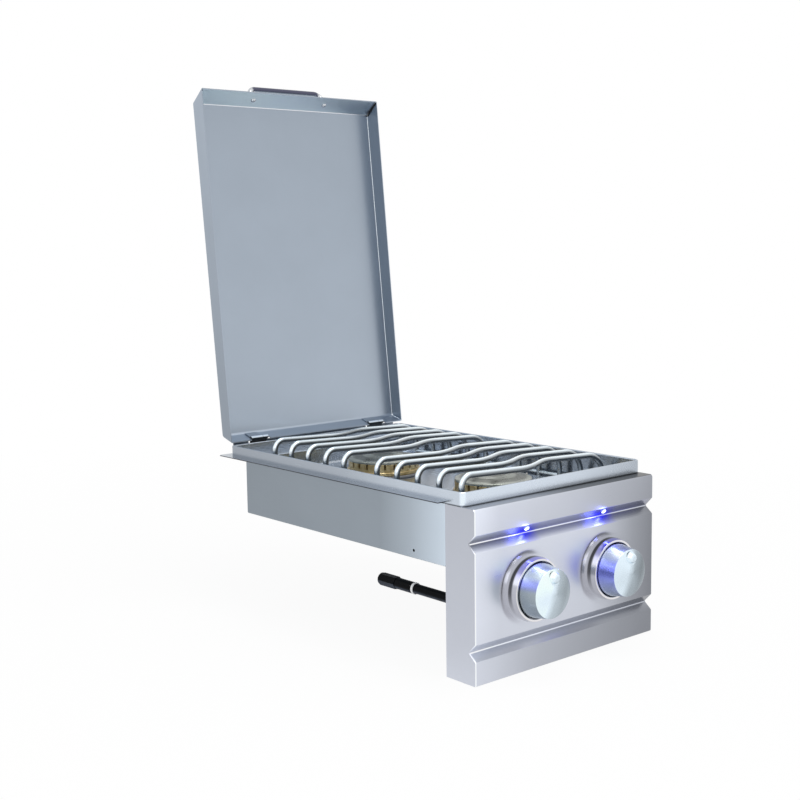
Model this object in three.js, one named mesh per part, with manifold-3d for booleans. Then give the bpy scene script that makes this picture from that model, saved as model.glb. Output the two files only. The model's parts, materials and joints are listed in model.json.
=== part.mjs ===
// Built in double side burner for an outdoor kitchen counter, in millimetres.
// X runs to the right, Y runs back from the control panel and Z runs up.
// While the pieces are made, the panel's front face is at y = 0 and the counter's top is at z = 0.
// The finished group is then moved so that its origin is the middle of the rear counter flange's underside.
// The lid is shown open, resting on its stop.
import * as THREE from "three";
import { mergeVertices } from "three/addons/utils/BufferGeometryUtils.js";
import Module from "manifold-3d";

const wasm = await Module();
wasm.setup();

// Sizes that many pieces share
const unitWidth = 350;
const unitDepth = 557;
const sheet = 1.2;
const seatGap = 0.3;
const runningGap = 0.3;
const overrun = 2;
const weldLap = 0.8;
const fineTurns = 28;
const plainTurns = 16;
const smallTurns = 12;
const barSides = 8;
const bendSteps = 3;
const mergeDistance = 0.001;

// Control panel, a folded sheet with two V grooves across it
const panelHeight = 229;
const panelDepth = 55;
const panelTopDrop = 2;
const panelReturn = 25;
const bullnoseRadius = 7;
const grooveDepth = 12;
const grooveUpperReach = 12.5;
const grooveLowerReach = 10;
const upperGrooveDrop = 46;
const lowerGrooveRise = 42;

// Round dishes pressed into the panel behind the knobs
const knobSpacing = 152;
const knobDrop = 118;
const dishRadius = 55;
const dishDepth = 3;
const dishSlope = 5;
const dishFloorRadius = dishRadius - dishSlope;

// Bezel rings
const bezelRadius = 43;
const bezelBore = 39;
const bezelHeight = 16;
const bezelShoulder = 7;
const bezelShoulderInset = 1.2;
const bezelLip = 1.6;

// Knobs
const knobClearance = 1.5;
const knobBaseRadius = bezelBore - knobClearance;
const knobTaper = 5;
const knobRimRadius = knobBaseRadius - knobTaper;
const knobTravel = 4;
const knobBack = 10;
const knobLength = 31;
const knobEdge = 2;
const knobDome = 5;
const knobDomeSteps = 3;
const knobWall = 4;
const knobFaceWall = 6;
const knobBossRadius = 9;
const knobBossInset = 2;
const nubRadius = 5.5;
const nubTipRadius = 3;
const nubHeight = 4.5;
const nubOffset = 21;

// Gas valves, their turning plugs and the stems that the knobs push
const valveWidth = 32;
const valveTop = 16;
const valveBottom = 21;
const valveNoseRadius = 13;
const valveNoseLength = 4;
const plugRadius = 9;
const plugLength = 22;
const stemRadius = 4;
const stemFlat = 2.6;
const stemInPlug = 10;
const stemInKnob = 18;
const stemHoleGap = 2;
const stemHoleRadius = stemRadius + stemHoleGap;
const plugSocketSpare = 3;
const plugSocketDepth = stemInPlug + knobTravel + plugSocketSpare;

// Gas pipe behind the panel and its inlet below the box
const pipeRadius = 6.75;
const pipeAxisDepth = 44;
const pipeBelowKnob = 14;
const pipeInset = 21;
const pipePastValve = 12;
const pipeBend = 20;
const pipeInSleeve = 29;
const inletReach = 80;
const sealLength = 8;
const sealWall = 2;
const sleeveWall = 1.4;
const sleeveLength = 32;
const nutSides = 6;
const nutAcross = 18;
const nutLength = 34;
const nutBore = 5;

// Gas tubes from the valves to the burners
const tubeRadius = 4;
const tubeBend = 14;
const tubeBelowWell = 23;
const tubeFromValveBack = 11;
const tubeHoleGap = 2;

// Indicator lamps in the upper facet of the upper groove
const lampRadius = 3.4;
const lampHeight = 1.8;
const lampLength = 8;
const lampSocketWall = 1.9;
const lampSocketLength = 9;
const lampDomeSteps = 2;

// Top pan with its raised rim, well and counter flange
const panFront = 22;
const rimHeight = 17;
const rimThickness = 3.5;
const rimCornerRadius = 10;
const rimSteps = 3;
const cornerSteps = 3;
const wellDepth = 27;
const ledgeLength = 43.5;
const wellBend = 5;
const flangeWidth = 12.5;

// Burner box under the pan
const boxBelowWell = 58;
const boxBackGap = 0.6;
const boxScrewRadius = 2;
const boxScrewFromFront = 61.7;
const boxScrewRise = 11;

// Angle brackets that join the panel to the box
const bracketWidth = 22;
const bracketReach = 24;
const bracketHeight = 40;
const bracketBelowBoxTop = 7.5;
const bracketSheet = 1.5;

// Spark module on the front of the box
const sparkWidth = 60;
const sparkDepth = 26;
const sparkHeight = 40;
const sparkEdge = 3;

// Burners
const frontBurnerMargin = 119.5;
const rearBurnerMargin = 121;
const burnerCupRadius = 34;
const burnerCupWall = 4;
const burnerCupDepth = 36;
const burnerCupChamfer = 4;
const burnerFlangeReach = 4;
const burnerFlangeHeight = 3;
const burnerHoleGap = 1;
const burnerBossRadius = 8;
const burnerBossLength = 11;
const ringInset = 3;
const ringWidth = 20;
const ringInnerRadius = burnerCupRadius + ringInset;
const ringOuterRadius = ringInnerRadius + ringWidth;
const burnerFlangeRadius = ringOuterRadius + burnerFlangeReach;
const ringHeight = 17;
const ringLowerStep = 2;
const ringLowerHeight = 5;
const portCount = 24;
const portWidth = 3;
const portHeight = 8;
const portDepth = 9;
const capInset = 2;
const capRadius = ringOuterRadius - capInset;
const capEdge = 3.5;
const capDome = 5;
const capDomeSteps = 3;
const capSpigotWall = 3;
const capSpigotDepth = 5;
const igniterRadius = 3.4;
const igniterCollarRadius = 5.4;
const igniterFromFlange = 7;
const igniterOffset = burnerFlangeRadius + igniterFromFlange;
const igniterCollarHeight = 2.5;
const igniterBelow = 16;
const igniterAbove = 16;
const electrodeRadius = 1.1;
const electrodeLength = 6;
const igniterHoleGap = 0.6;

// Cooking grates of bent round bars
const grateBarRadius = 4;
const grateTop = 38;
const grateFall = 14;
const grateMargin = 11.5;
const gratePitch = 42.5;
const grateBars = 5;
const grateShift = 40;
const grateShiftLength = 110;
const grateShiftSteps = 7;
const grateLeftBend = 15;
const grateRightBend = 35;
const grateTieRadius = 3;

// Lid, a folded tray that turns on two rear hinges
const lidOverhang = 0.75;
const lidFrontSetback = 5.1;
const lidRearSlant = 10;
const lidFrontSlant = 18;
const lidRearDepth = 25;
const lidFrontDepth = 29;
const lidRearBend = 6;
const lidFrontBend = 3;
const lidLift = 2.3;
const lidOpenAngle = THREE.MathUtils.degToRad(95.7);

// Lid hinges
const hingeMargin = 55;
const hingeInset = 3.5;
const hingeRise = 4.4;
const knuckleRadius = 3.2;
const knuckleBore = 1.8;
const lidKnuckleLength = 22;
const fixedKnuckleLength = 10;
const hingeLeafSheet = 1.5;
const hingeLeafLength = 18;
const hingeSlotLength = 10.5;
const hingeSlotGap = 2;
const pinRecess = 2;
const stopThickness = 3;
const stopReach = 9;
const stopStart = 3;
const stopHeight = 7;

// Lid handle, a round bar with bent ends
const handleRadius = 4.6;
const handleSpan = 142;
const handleStand = 22;
const handleBend = 12;
const handleScrewRadius = 2;
const handleScrewDepth = 9;
const handleScrewHead = 4.2;
const handleScrewHeadHeight = 2.4;

// Places worked out from the sizes above
const halfWidth = unitWidth / 2;
const panelTop = -panelTopDrop;
const panelBottom = panelTop - panelHeight;
const upperGroove = panelTop - upperGrooveDrop;
const lowerGroove = panelBottom + lowerGrooveRise;
const knobHeight = panelTop - knobDrop;
const rimBottom = panelTop + seatGap;
const wellFloor = -wellDepth;
const wellWidthInset = rimThickness - sheet;
const wellFront = panFront + rimThickness;
const frontBurnerDepth = wellFront + frontBurnerMargin;
const wellBack = unitDepth - rimThickness - ledgeLength;
const rearBurnerDepth = wellBack - rearBurnerMargin;
const boxFront = panelDepth + seatGap;
const boxBack = wellBack + sheet + boxBackGap + sheet;
const boxBottom = wellFloor - boxBelowWell;
const boxFrontTop = wellFloor - sheet - seatGap;
const bracketTop = boxFrontTop - bracketBelowBoxTop;
const valveFront = dishDepth + sheet + seatGap;
const valveBack = pipeAxisDepth - pipeRadius - seatGap;
const plugFront = valveFront + valveNoseLength + seatGap;
const pipeHeight = knobHeight - pipeBelowKnob;
const sealStart = panelDepth + inletReach;
const sleeveStart = sealStart + sealLength + seatGap;
const nutStart = sleeveStart + sleeveLength + seatGap;
const tubeHeight = wellFloor - tubeBelowWell;
const tubeDepth = valveBack - tubeFromValveBack;
const grateBarHeight = grateTop - grateBarRadius;
const grateHalfSpan = halfWidth - rimThickness - grateMargin;
const hingeDepth = unitDepth + seatGap + hingeLeafSheet - knuckleRadius;
const hingeHeight = rimHeight + lidLift + hingeRise;
const hingeHalfSpacing = halfWidth - hingeMargin;
const lidLength = hingeDepth + hingeInset - lidFrontSetback;
const originDepth = unitDepth + flangeWidth / 2;
const sides = { left: -1, right: 1 };

// A closed mesh as a solid that can be joined and cut
function solidFrom(geometry) {
  const bare = geometry.clone();
  bare.deleteAttribute("normal");
  bare.deleteAttribute("uv");
  const merged = mergeVertices(bare, mergeDistance);
  const vertProperties = new Float32Array(merged.attributes.position.array);
  const triVerts = new Uint32Array(merged.index.array);
  return new wasm.Manifold(new wasm.Mesh({ numProp: 3, vertProperties, triVerts }));
}

// The solid as a geometry with flat faces
function geometryFrom(solid) {
  const mesh = solid.getMesh();
  const indexed = new THREE.BufferGeometry();
  indexed.setAttribute("position", new THREE.BufferAttribute(mesh.vertProperties.slice(), 3));
  indexed.setIndex(new THREE.BufferAttribute(mesh.triVerts.slice(), 1));
  const flat = indexed.toNonIndexed();
  flat.computeVertexNormals();
  return flat;
}

function join(...geometries) {
  const solids = geometries.map(solidFrom);
  return geometryFrom(solids.reduce((whole, next) => whole.add(next)));
}

function cut(geometry, ...tools) {
  const whole = solidFrom(geometry);
  return geometryFrom(tools.map(solidFrom).reduce((rest, tool) => rest.subtract(tool), whole));
}

// Turns a mesh's faces outwards when its winding made them point inwards
function facingOut(geometry) {
  const corners = geometry.index ? geometry.toNonIndexed() : geometry;
  const place = corners.getAttribute("position");
  const [a, b, c] = [new THREE.Vector3(), new THREE.Vector3(), new THREE.Vector3()];
  let volume = 0;
  for (let i = 0; i < place.count; i += 3) {
    a.fromBufferAttribute(place, i);
    b.fromBufferAttribute(place, i + 1);
    c.fromBufferAttribute(place, i + 2);
    volume += a.dot(b.cross(c));
  }
  if (volume < 0) {
    for (let i = 0; i < place.count; i += 3) {
      b.fromBufferAttribute(place, i + 1);
      c.fromBufferAttribute(place, i + 2);
      place.setXYZ(i + 1, c.x, c.y, c.z);
      place.setXYZ(i + 2, b.x, b.y, b.z);
    }
  }
  corners.computeVertexNormals();
  return corners;
}

function block(x0, x1, y0, y1, z0, z1) {
  const form = new THREE.BoxGeometry(x1 - x0, y1 - y0, z1 - z0);
  return form.translate((x0 + x1) / 2, (y0 + y1) / 2, (z0 + z1) / 2);
}

function vectors(pairs) {
  return pairs.map(([a, b]) => new THREE.Vector2(a, b));
}

function extruded(outline, length) {
  return new THREE.ExtrudeGeometry(new THREE.Shape(outline), { depth: length, bevelEnabled: false });
}

// An outline of Y and Z places, extruded from x0 to x1
function prismX(outline, x0, x1) {
  const axes = new THREE.Matrix4().makeBasis(
    new THREE.Vector3(0, 1, 0),
    new THREE.Vector3(0, 0, 1),
    new THREE.Vector3(1, 0, 0),
  );
  return extruded(outline, x1 - x0).applyMatrix4(axes).translate(x0, 0, 0);
}

// An outline of X and Z places, extruded from y0 to y1
function prismY(outline, y0, y1) {
  return extruded(outline, y1 - y0).rotateX(Math.PI / 2).translate(0, y1, 0);
}

// A profile of radius and Y places, turned round the Y axis
function turnedY(profile, turns) {
  const points = vectors(profile);
  if (points[0].x > 0) points.push(points[0].clone());
  return facingOut(new THREE.LatheGeometry(points, turns));
}

// A profile of radius and Z places, turned round the Z axis
function turnedZ(profile, turns) {
  return turnedY(profile, turns).rotateX(Math.PI / 2);
}

// A round bar along Y, for holes and plain pins
function barY(radius, y0, y1, turns) {
  return turnedY([[0, y0], [radius, y0], [radius, y1], [0, y1]], turns);
}

function barX(radius, x0, x1, turns) {
  return barY(radius, x0, x1, turns).rotateZ(-Math.PI / 2);
}

function barZ(radius, z0, z1, turns) {
  return barY(radius, z0, z1, turns).rotateX(Math.PI / 2);
}

// The line moved sideways to its right by a distance, with its corners kept sharp
function offsetLine(points, distance) {
  return points.map((point, i) => {
    const from = points[Math.max(i - 1, 0)];
    const to = points[Math.min(i + 1, points.length - 1)];
    const before = (i > 0 ? point.clone().sub(from) : to.clone().sub(point)).normalize();
    const after = (i < points.length - 1 ? to.clone().sub(point) : point.clone().sub(from)).normalize();
    const first = new THREE.Vector2(before.y, -before.x);
    const second = new THREE.Vector2(after.y, -after.x);
    const mitre = first.clone().add(second).normalize();
    return point.clone().addScaledVector(mitre, distance / mitre.dot(first));
  });
}

// The line with each inner corner rounded by its own radius
function roundedLine(points, radii, steps) {
  const line = [points[0].clone()];
  for (let i = 1; i < points.length - 1; i += 1) {
    const corner = points[i];
    const back = points[i - 1].clone().sub(corner).normalize();
    const ahead = points[i + 1].clone().sub(corner).normalize();
    const reach = radii[i - 1] * Math.tan((Math.PI - back.angleTo(ahead)) / 2);
    const start = corner.clone().addScaledVector(back, reach);
    const end = corner.clone().addScaledVector(ahead, reach);
    for (let k = 0; k <= steps; k += 1) {
      const nearStart = start.clone().lerp(corner, k / steps);
      const nearEnd = corner.clone().lerp(end, k / steps);
      line.push(nearStart.lerp(nearEnd, k / steps));
    }
  }
  line.push(points.at(-1).clone());
  return line;
}

// A route whose extrusion steps fall on its own nodes, so straight runs take one step each
class NodeRoute extends THREE.Curve {
  constructor(nodes) {
    super();
    this.nodes = nodes;
  }

  getPointAt(share, target = new THREE.Vector3()) {
    return target.copy(this.nodes[Math.round(share * (this.nodes.length - 1))]);
  }

  getTangentAt(share, target = new THREE.Vector3()) {
    const i = Math.round(share * (this.nodes.length - 1));
    const here = this.nodes[i];
    const from = this.nodes[Math.max(i - 1, 0)];
    const to = this.nodes[Math.min(i + 1, this.nodes.length - 1)];
    const before = here.clone().sub(from).normalize();
    const after = to.clone().sub(here).normalize();
    return target.copy(before.add(after)).normalize();
  }
}

function circleOutline(radius, count) {
  return Array.from({ length: count }, (_, i) => {
    const angle = ((i + 1 / 2) / count) * 2 * Math.PI;
    return new THREE.Vector2(radius * Math.cos(angle), radius * Math.sin(angle));
  });
}

function bentBar(nodes, radius, count) {
  const shape = new THREE.Shape(circleOutline(radius, count));
  const extrudePath = new NodeRoute(nodes);
  return facingOut(new THREE.ExtrudeGeometry(shape, { steps: nodes.length - 1, extrudePath }));
}

// One loop of a rounded rectangle, drawn in by an inset from its outer edge
function rectangleLoop(half, y0, y1, radius, inset) {
  const centres = [
    [half - radius, y1 - radius, 0],
    [radius - half, y1 - radius, Math.PI / 2],
    [radius - half, y0 + radius, Math.PI],
    [half - radius, y0 + radius, 1.5 * Math.PI],
  ];
  return centres.flatMap(([x, y, start]) =>
    Array.from({ length: cornerSteps + 1 }, (_, k) => {
      const angle = start + ((k / cornerSteps) * Math.PI) / 2;
      const reach = radius - inset;
      return [x + reach * Math.cos(angle), y + reach * Math.sin(angle)];
    }),
  );
}

// A profile of inset and Z places led round a rounded rectangle, closed on itself or capped into a tray
function ledRound(profile, half, y0, y1, radius, capped) {
  const loops = profile.map(([inset, z]) =>
    rectangleLoop(half, y0, y1, radius, inset).map(([x, y]) => [x, y, z]),
  );
  const around = loops[0].length;
  const positions = [];
  const face = (...corners) => corners.forEach((corner) => positions.push(...corner));
  const last = capped ? loops.length - 1 : loops.length;
  for (let i = 0; i < last; i += 1) {
    const low = loops[i];
    const high = loops[(i + 1) % loops.length];
    for (let k = 0; k < around; k += 1) {
      const next = (k + 1) % around;
      face(low[k], low[next], high[next]);
      face(low[k], high[next], high[k]);
    }
  }
  for (let k = 1; capped && k < around - 1; k += 1) {
    face(loops[0][0], loops[0][k + 1], loops[0][k]);
    face(loops.at(-1)[0], loops.at(-1)[k], loops.at(-1)[k + 1]);
  }
  const form = new THREE.BufferGeometry();
  form.setAttribute("position", new THREE.Float32BufferAttribute(positions, 3));
  return facingOut(form);
}

// Points of a shallow dome from its rim to its middle, as radius and place
function domePoints(radius, rimPlace, rise, steps) {
  return Array.from({ length: steps + 1 }, (_, k) => {
    const share = 1 - k / steps;
    return [radius * share, rimPlace + rise * (1 - share * share)];
  });
}

// Materials
function brushedSteel() {
  return new THREE.MeshStandardMaterial({ color: 0xb4bac2, roughness: 0.38, metalness: 0.9 });
}

function polishedSteel() {
  return new THREE.MeshStandardMaterial({ color: 0xd6dade, roughness: 0.16, metalness: 1 });
}

function castAluminium() {
  return new THREE.MeshStandardMaterial({ color: 0x9ea1a3, roughness: 0.6, metalness: 0.8 });
}

function burnerBrass() {
  return new THREE.MeshStandardMaterial({ color: 0xb59a5b, roughness: 0.34, metalness: 0.95 });
}

function capSteel() {
  return new THREE.MeshStandardMaterial({ color: 0xc9c6b4, roughness: 0.3, metalness: 0.9 });
}

function blackPipe() {
  return new THREE.MeshStandardMaterial({ color: 0x15171a, roughness: 0.45, metalness: 0.3 });
}

function blackPlastic() {
  return new THREE.MeshStandardMaterial({ color: 0x1a1b1d, roughness: 0.6, metalness: 0 });
}

function whitePlastic() {
  return new THREE.MeshStandardMaterial({ color: 0xe8e9ea, roughness: 0.5, metalness: 0 });
}

function whiteCeramic() {
  return new THREE.MeshStandardMaterial({ color: 0xeeebe2, roughness: 0.35, metalness: 0 });
}

function blueLens() {
  return new THREE.MeshStandardMaterial({ color: 0x2b3cff, emissive: 0x2b3cff, roughness: 0.2 });
}

function piece(name, geometry, material) {
  const mesh = new THREE.Mesh(geometry, material);
  mesh.name = name;
  return mesh;
}

// The panel's outer face from its bottom return to the back of its top, as Y and Z places
function panelFace() {
  const bend = vectors([
    [0, panelTop - bullnoseRadius],
    [0, panelTop],
    [bullnoseRadius, panelTop],
  ]);
  const front = vectors([
    [0, panelBottom],
    [0, lowerGroove - grooveLowerReach],
    [grooveDepth, lowerGroove],
    [0, lowerGroove + grooveUpperReach],
    [0, upperGroove - grooveLowerReach],
    [grooveDepth, upperGroove],
    [0, upperGroove + grooveUpperReach],
  ]);
  return [...front, ...roundedLine(bend, [bullnoseRadius], bendSteps).slice(1, -1)];
}

function dish() {
  const profile = [
    [stemHoleRadius, dishDepth],
    [dishFloorRadius, dishDepth],
    [dishRadius, 0],
    [dishRadius + weldLap, 0],
    [dishRadius + weldLap, sheet],
    [dishRadius, sheet],
    [dishFloorRadius, dishDepth + sheet],
    [stemHoleRadius, dishDepth + sheet],
  ];
  return turnedY(profile, fineTurns);
}

// The middle of the groove's upper facet, and the way its outer face looks
const facetPlace = new THREE.Vector3(0, grooveDepth / 2, upperGroove + grooveUpperReach / 2);
const facetWay = new THREE.Vector3(0, -grooveUpperReach, -grooveDepth).normalize();
const facetTurn = Math.atan2(facetWay.z, facetWay.y);

function controlPanel() {
  const face = panelFace();
  const topDepth = wellFront - sheet - seatGap;
  const topEnd = new THREE.Vector2(topDepth, panelTop);
  const returnEnd = new THREE.Vector2(panelReturn, panelBottom);
  const outer = [returnEnd, ...face, topEnd];
  const skin = prismX([...outer, ...offsetLine(outer, sheet).reverse()], -halfWidth, halfWidth);
  const backEdge = vectors([[panelDepth, panelTop], [panelDepth, panelBottom]]);
  const cheekOutline = [...face, ...backEdge];
  const cheeks = [
    prismX(cheekOutline, -halfWidth, sheet - halfWidth),
    prismX(cheekOutline, halfWidth - sheet, halfWidth),
  ];
  const openings = [];
  const dishes = [];
  for (const sign of Object.values(sides)) {
    const x = (sign * knobSpacing) / 2;
    const opening = barY(dishRadius, -overrun, sheet + overrun, fineTurns);
    openings.push(opening.translate(x, 0, knobHeight));
    dishes.push(dish().translate(x, 0, knobHeight));
    const lampHole = barY(lampRadius + seatGap, -sheet - overrun, overrun, smallTurns);
    lampHole.rotateX(facetTurn).translate(x, facetPlace.y, facetPlace.z);
    openings.push(lampHole);
  }
  return join(cut(join(skin, ...cheeks), ...openings), ...dishes);
}

function knobBezel() {
  const base = dishDepth - seatGap;
  const front = -bezelHeight;
  const profile = [
    [bezelRadius, base],
    [bezelRadius, -bezelShoulder],
    [bezelRadius - bezelShoulderInset, -bezelShoulder],
    [bezelRadius - bezelShoulderInset, front + bezelLip],
    [bezelRadius - bezelShoulderInset - bezelLip / 2, front],
    [bezelBore + bezelLip / 2, front],
    [bezelBore, front + bezelLip],
    [bezelBore, base],
  ];
  return turnedY(profile, fineTurns);
}

// The stem's section with its flat, grown by a gap where it is a socket
function stemOutline(gap) {
  const round = circleOutline(stemRadius + gap, plainTurns);
  return round.map((point) => new THREE.Vector2(point.x, Math.min(point.y, stemFlat + gap)));
}

function knob() {
  const rimPlace = -(knobBack + knobLength);
  const inside = rimPlace + knobFaceWall;
  const face = domePoints(knobRimRadius - knobEdge, rimPlace, -knobDome, knobDomeSteps);
  const profile = [
    ...face.reverse(),
    [knobRimRadius, rimPlace + knobEdge],
    [knobBaseRadius, -knobBack],
    [knobBaseRadius - knobWall, -knobBack],
    [knobRimRadius - knobWall, inside],
    [knobBossRadius, inside],
    [knobBossRadius, -knobBack - knobBossInset],
    [0, -knobBack - knobBossInset],
  ];
  const shareOut = nubOffset / (knobRimRadius - knobEdge);
  const faceHere = rimPlace - knobDome * (1 - shareOut * shareOut);
  const nub = turnedY(
    [
      [0, faceHere + knobEdge],
      [nubRadius, faceHere + knobEdge],
      [nubTipRadius, faceHere - nubHeight],
      [0, faceHere - nubHeight],
    ],
    plainTurns,
  ).translate(0, 0, nubOffset);
  const stemEnd = -knobBack - knobBossInset - stemInKnob - seatGap;
  const socket = prismY(stemOutline(seatGap), stemEnd, overrun - knobBack - knobBossInset);
  return cut(join(turnedY(profile, fineTurns), nub), socket);
}

function valveStem() {
  return prismY(stemOutline(0), -knobBack - knobBossInset - stemInKnob, plugFront + stemInPlug);
}

function valvePlug() {
  const barrel = barY(plugRadius, plugFront, plugFront + plugLength, plainTurns);
  const socket = prismY(stemOutline(runningGap), plugFront - overrun, plugFront + plugSocketDepth);
  return cut(barrel, socket);
}

function valveBody() {
  const blockFront = valveFront + valveNoseLength;
  const body = block(-valveWidth / 2, valveWidth / 2, blockFront, valveBack, -valveBottom, valveTop);
  const nose = barY(valveNoseRadius, valveFront, blockFront + weldLap, plainTurns);
  const chamber = barY(plugRadius + runningGap, blockFront, plugFront + plugLength + seatGap, plainTurns);
  const neck = barY(stemHoleRadius, valveFront - overrun, blockFront + overrun, plainTurns);
  return cut(join(body, nose), chamber, neck);
}

function manifoldPipe() {
  const inletX = pipeInset - halfWidth;
  const rightEnd = knobSpacing / 2 + valveWidth / 2 + pipePastValve;
  const corners = [
    new THREE.Vector3(rightEnd, pipeAxisDepth, pipeHeight),
    new THREE.Vector3(inletX, pipeAxisDepth, pipeHeight),
    new THREE.Vector3(inletX, sleeveStart + pipeInSleeve, pipeHeight),
  ];
  return bentBar(roundedLine(corners, [pipeBend], bendSteps), pipeRadius, plainTurns);
}

function inletSealRing() {
  const bore = pipeRadius + seatGap;
  const outer = bore + sealWall;
  const end = sealStart + sealLength;
  return turnedY([[outer, sealStart], [outer, end], [bore, end], [bore, sealStart]], plainTurns);
}

function inletSleeve() {
  const bore = pipeRadius + seatGap;
  const outer = bore + sleeveWall;
  const profile = [
    [outer, sleeveStart],
    [outer, sleeveStart + sleeveLength],
    [bore, sleeveStart + sleeveLength],
    [bore, sleeveStart],
  ];
  return turnedY(profile, plainTurns);
}

function inletNut() {
  const hexagon = circleOutline(nutAcross / 2 / Math.cos(Math.PI / nutSides), nutSides);
  const bore = barY(nutBore, nutStart - overrun, nutStart + nutLength + overrun, plainTurns);
  return cut(prismY(hexagon, nutStart, nutStart + nutLength), bore);
}

function gasTube(side, setback) {
  const x = (side * knobSpacing) / 2;
  const bossEnd = burnerCupRadius + burnerBossLength + seatGap;
  const corners = [
    new THREE.Vector3(x, tubeDepth, knobHeight + valveTop + seatGap),
    new THREE.Vector3(x, tubeDepth, tubeHeight),
    new THREE.Vector3(x, setback, tubeHeight),
    new THREE.Vector3(side * bossEnd, setback, tubeHeight),
  ];
  return bentBar(roundedLine(corners, [tubeBend, tubeBend], bendSteps), tubeRadius, barSides);
}

function lampLens() {
  const profile = [
    ...domePoints(lampRadius, 0, lampHeight, lampDomeSteps).reverse(),
    [lampRadius, -lampLength],
    [0, -lampLength],
  ];
  return turnedY(profile, smallTurns);
}

function lampSocket() {
  const front = -sheet - seatGap;
  const back = front - lampSocketLength;
  const bore = lampRadius + seatGap;
  const outer = bore + lampSocketWall;
  const profile = [
    [0, back],
    [outer, back],
    [outer, front],
    [bore, front],
    [bore, -lampLength - seatGap],
    [0, -lampLength - seatGap],
  ];
  return turnedY(profile, smallTurns);
}

function topPan() {
  const rimTop = Array.from({ length: rimSteps + 1 }, (_, k) => {
    const angle = Math.PI * (1 - k / rimSteps);
    const radius = rimThickness / 2;
    return [radius + radius * Math.cos(angle), rimHeight - radius + radius * Math.sin(angle)];
  });
  const rimProfile = [[0, rimBottom], ...rimTop, [rimThickness, rimBottom]];
  const rim = ledRound(rimProfile, halfWidth, panFront, unitDepth, rimCornerRadius, false);
  const inner = vectors([
    [sheet + rimCornerRadius - rimThickness, wellFloor],
    [sheet, wellFloor],
    [sheet, sheet],
  ]);
  const bend = roundedLine(inner, [wellBend], bendSteps);
  const skin = offsetLine(bend, -sheet).reverse();
  const wellProfile = [...bend, ...skin].map((point) => [point.x, point.y]);
  const well = ledRound(
    wellProfile,
    halfWidth - wellWidthInset,
    wellFront - sheet,
    wellBack + sheet,
    rimCornerRadius - wellWidthInset,
    true,
  );
  const ledgeHalf = halfWidth - rimThickness + weldLap;
  const ledge = block(-ledgeHalf, ledgeHalf, wellBack, unitDepth - rimThickness + weldLap, 0, sheet);
  const outerHalf = halfWidth + flangeWidth;
  const innerHalf = halfWidth - weldLap;
  const flange = vectors([
    [-outerHalf, panelDepth],
    [-innerHalf, panelDepth],
    [-innerHalf, unitDepth - weldLap],
    [innerHalf, unitDepth - weldLap],
    [innerHalf, panelDepth],
    [outerHalf, panelDepth],
    [outerHalf, unitDepth + flangeWidth],
    [-outerHalf, unitDepth + flangeWidth],
  ]);
  const holes = [frontBurnerDepth, rearBurnerDepth].flatMap((setback) => {
    const floorHole = (radius, x, turns) =>
      barZ(radius, wellFloor - sheet - overrun, wellFloor + overrun, turns).translate(x, setback, 0);
    return [
      floorHole(burnerCupRadius + burnerHoleGap, 0, fineTurns),
      floorHole(igniterRadius + igniterHoleGap, igniterOffset, smallTurns),
    ];
  });
  return cut(join(rim, well, ledge, extruded(flange, sheet)), ...holes);
}

function burnerBox() {
  const outside = block(-halfWidth, halfWidth, boxFront, boxBack, boxBottom, panelTop);
  const insideHalf = halfWidth - sheet;
  const inside = block(
    -insideHalf,
    insideHalf,
    boxFront + sheet,
    boxBack - sheet,
    boxBottom + sheet,
    panelTop + overrun,
  );
  const lowFront = block(
    -insideHalf,
    insideHalf,
    boxFront - overrun,
    boxFront + sheet + overrun,
    boxFrontTop,
    panelTop + overrun,
  );
  const holes = Object.values(sides).flatMap((sign) => {
    const holeRadius = tubeRadius + tubeHoleGap;
    const tubeHole = barY(holeRadius, boxFront - overrun, boxFront + sheet + overrun, smallTurns);
    const screwHole = barX(boxScrewRadius, halfWidth - sheet - overrun, halfWidth + overrun, smallTurns);
    if (sign < 0) screwHole.rotateZ(Math.PI);
    return [
      tubeHole.translate((sign * knobSpacing) / 2, 0, tubeHeight),
      screwHole.translate(0, boxFront + boxScrewFromFront, boxBottom + boxScrewRise),
    ];
  });
  return cut(outside, inside, lowFront, ...holes);
}

function panelBracket(sign) {
  const outer = halfWidth - sheet - seatGap;
  const along = [
    [outer, panelDepth],
    [outer - bracketWidth, panelDepth],
    [outer - bracketWidth, panelDepth - bracketSheet],
    [outer - bracketSheet, panelDepth - bracketSheet],
    [outer - bracketSheet, panelDepth - bracketReach],
    [outer, panelDepth - bracketReach],
  ];
  const outline = vectors(along.map(([x, y]) => [sign * x, y]));
  return extruded(outline, bracketHeight).translate(0, 0, bracketTop - bracketHeight);
}

function sparkModule() {
  const half = sparkWidth / 2;
  const outline = vectors([
    [-half, panelDepth],
    [half, panelDepth],
    [half, panelDepth - sparkDepth + sparkEdge],
    [half - sparkEdge, panelDepth - sparkDepth],
    [sparkEdge - half, panelDepth - sparkDepth],
    [-half, panelDepth - sparkDepth + sparkEdge],
  ]);
  return extruded(outline, sparkHeight).translate(0, 0, bracketTop - sparkHeight);
}

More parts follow.
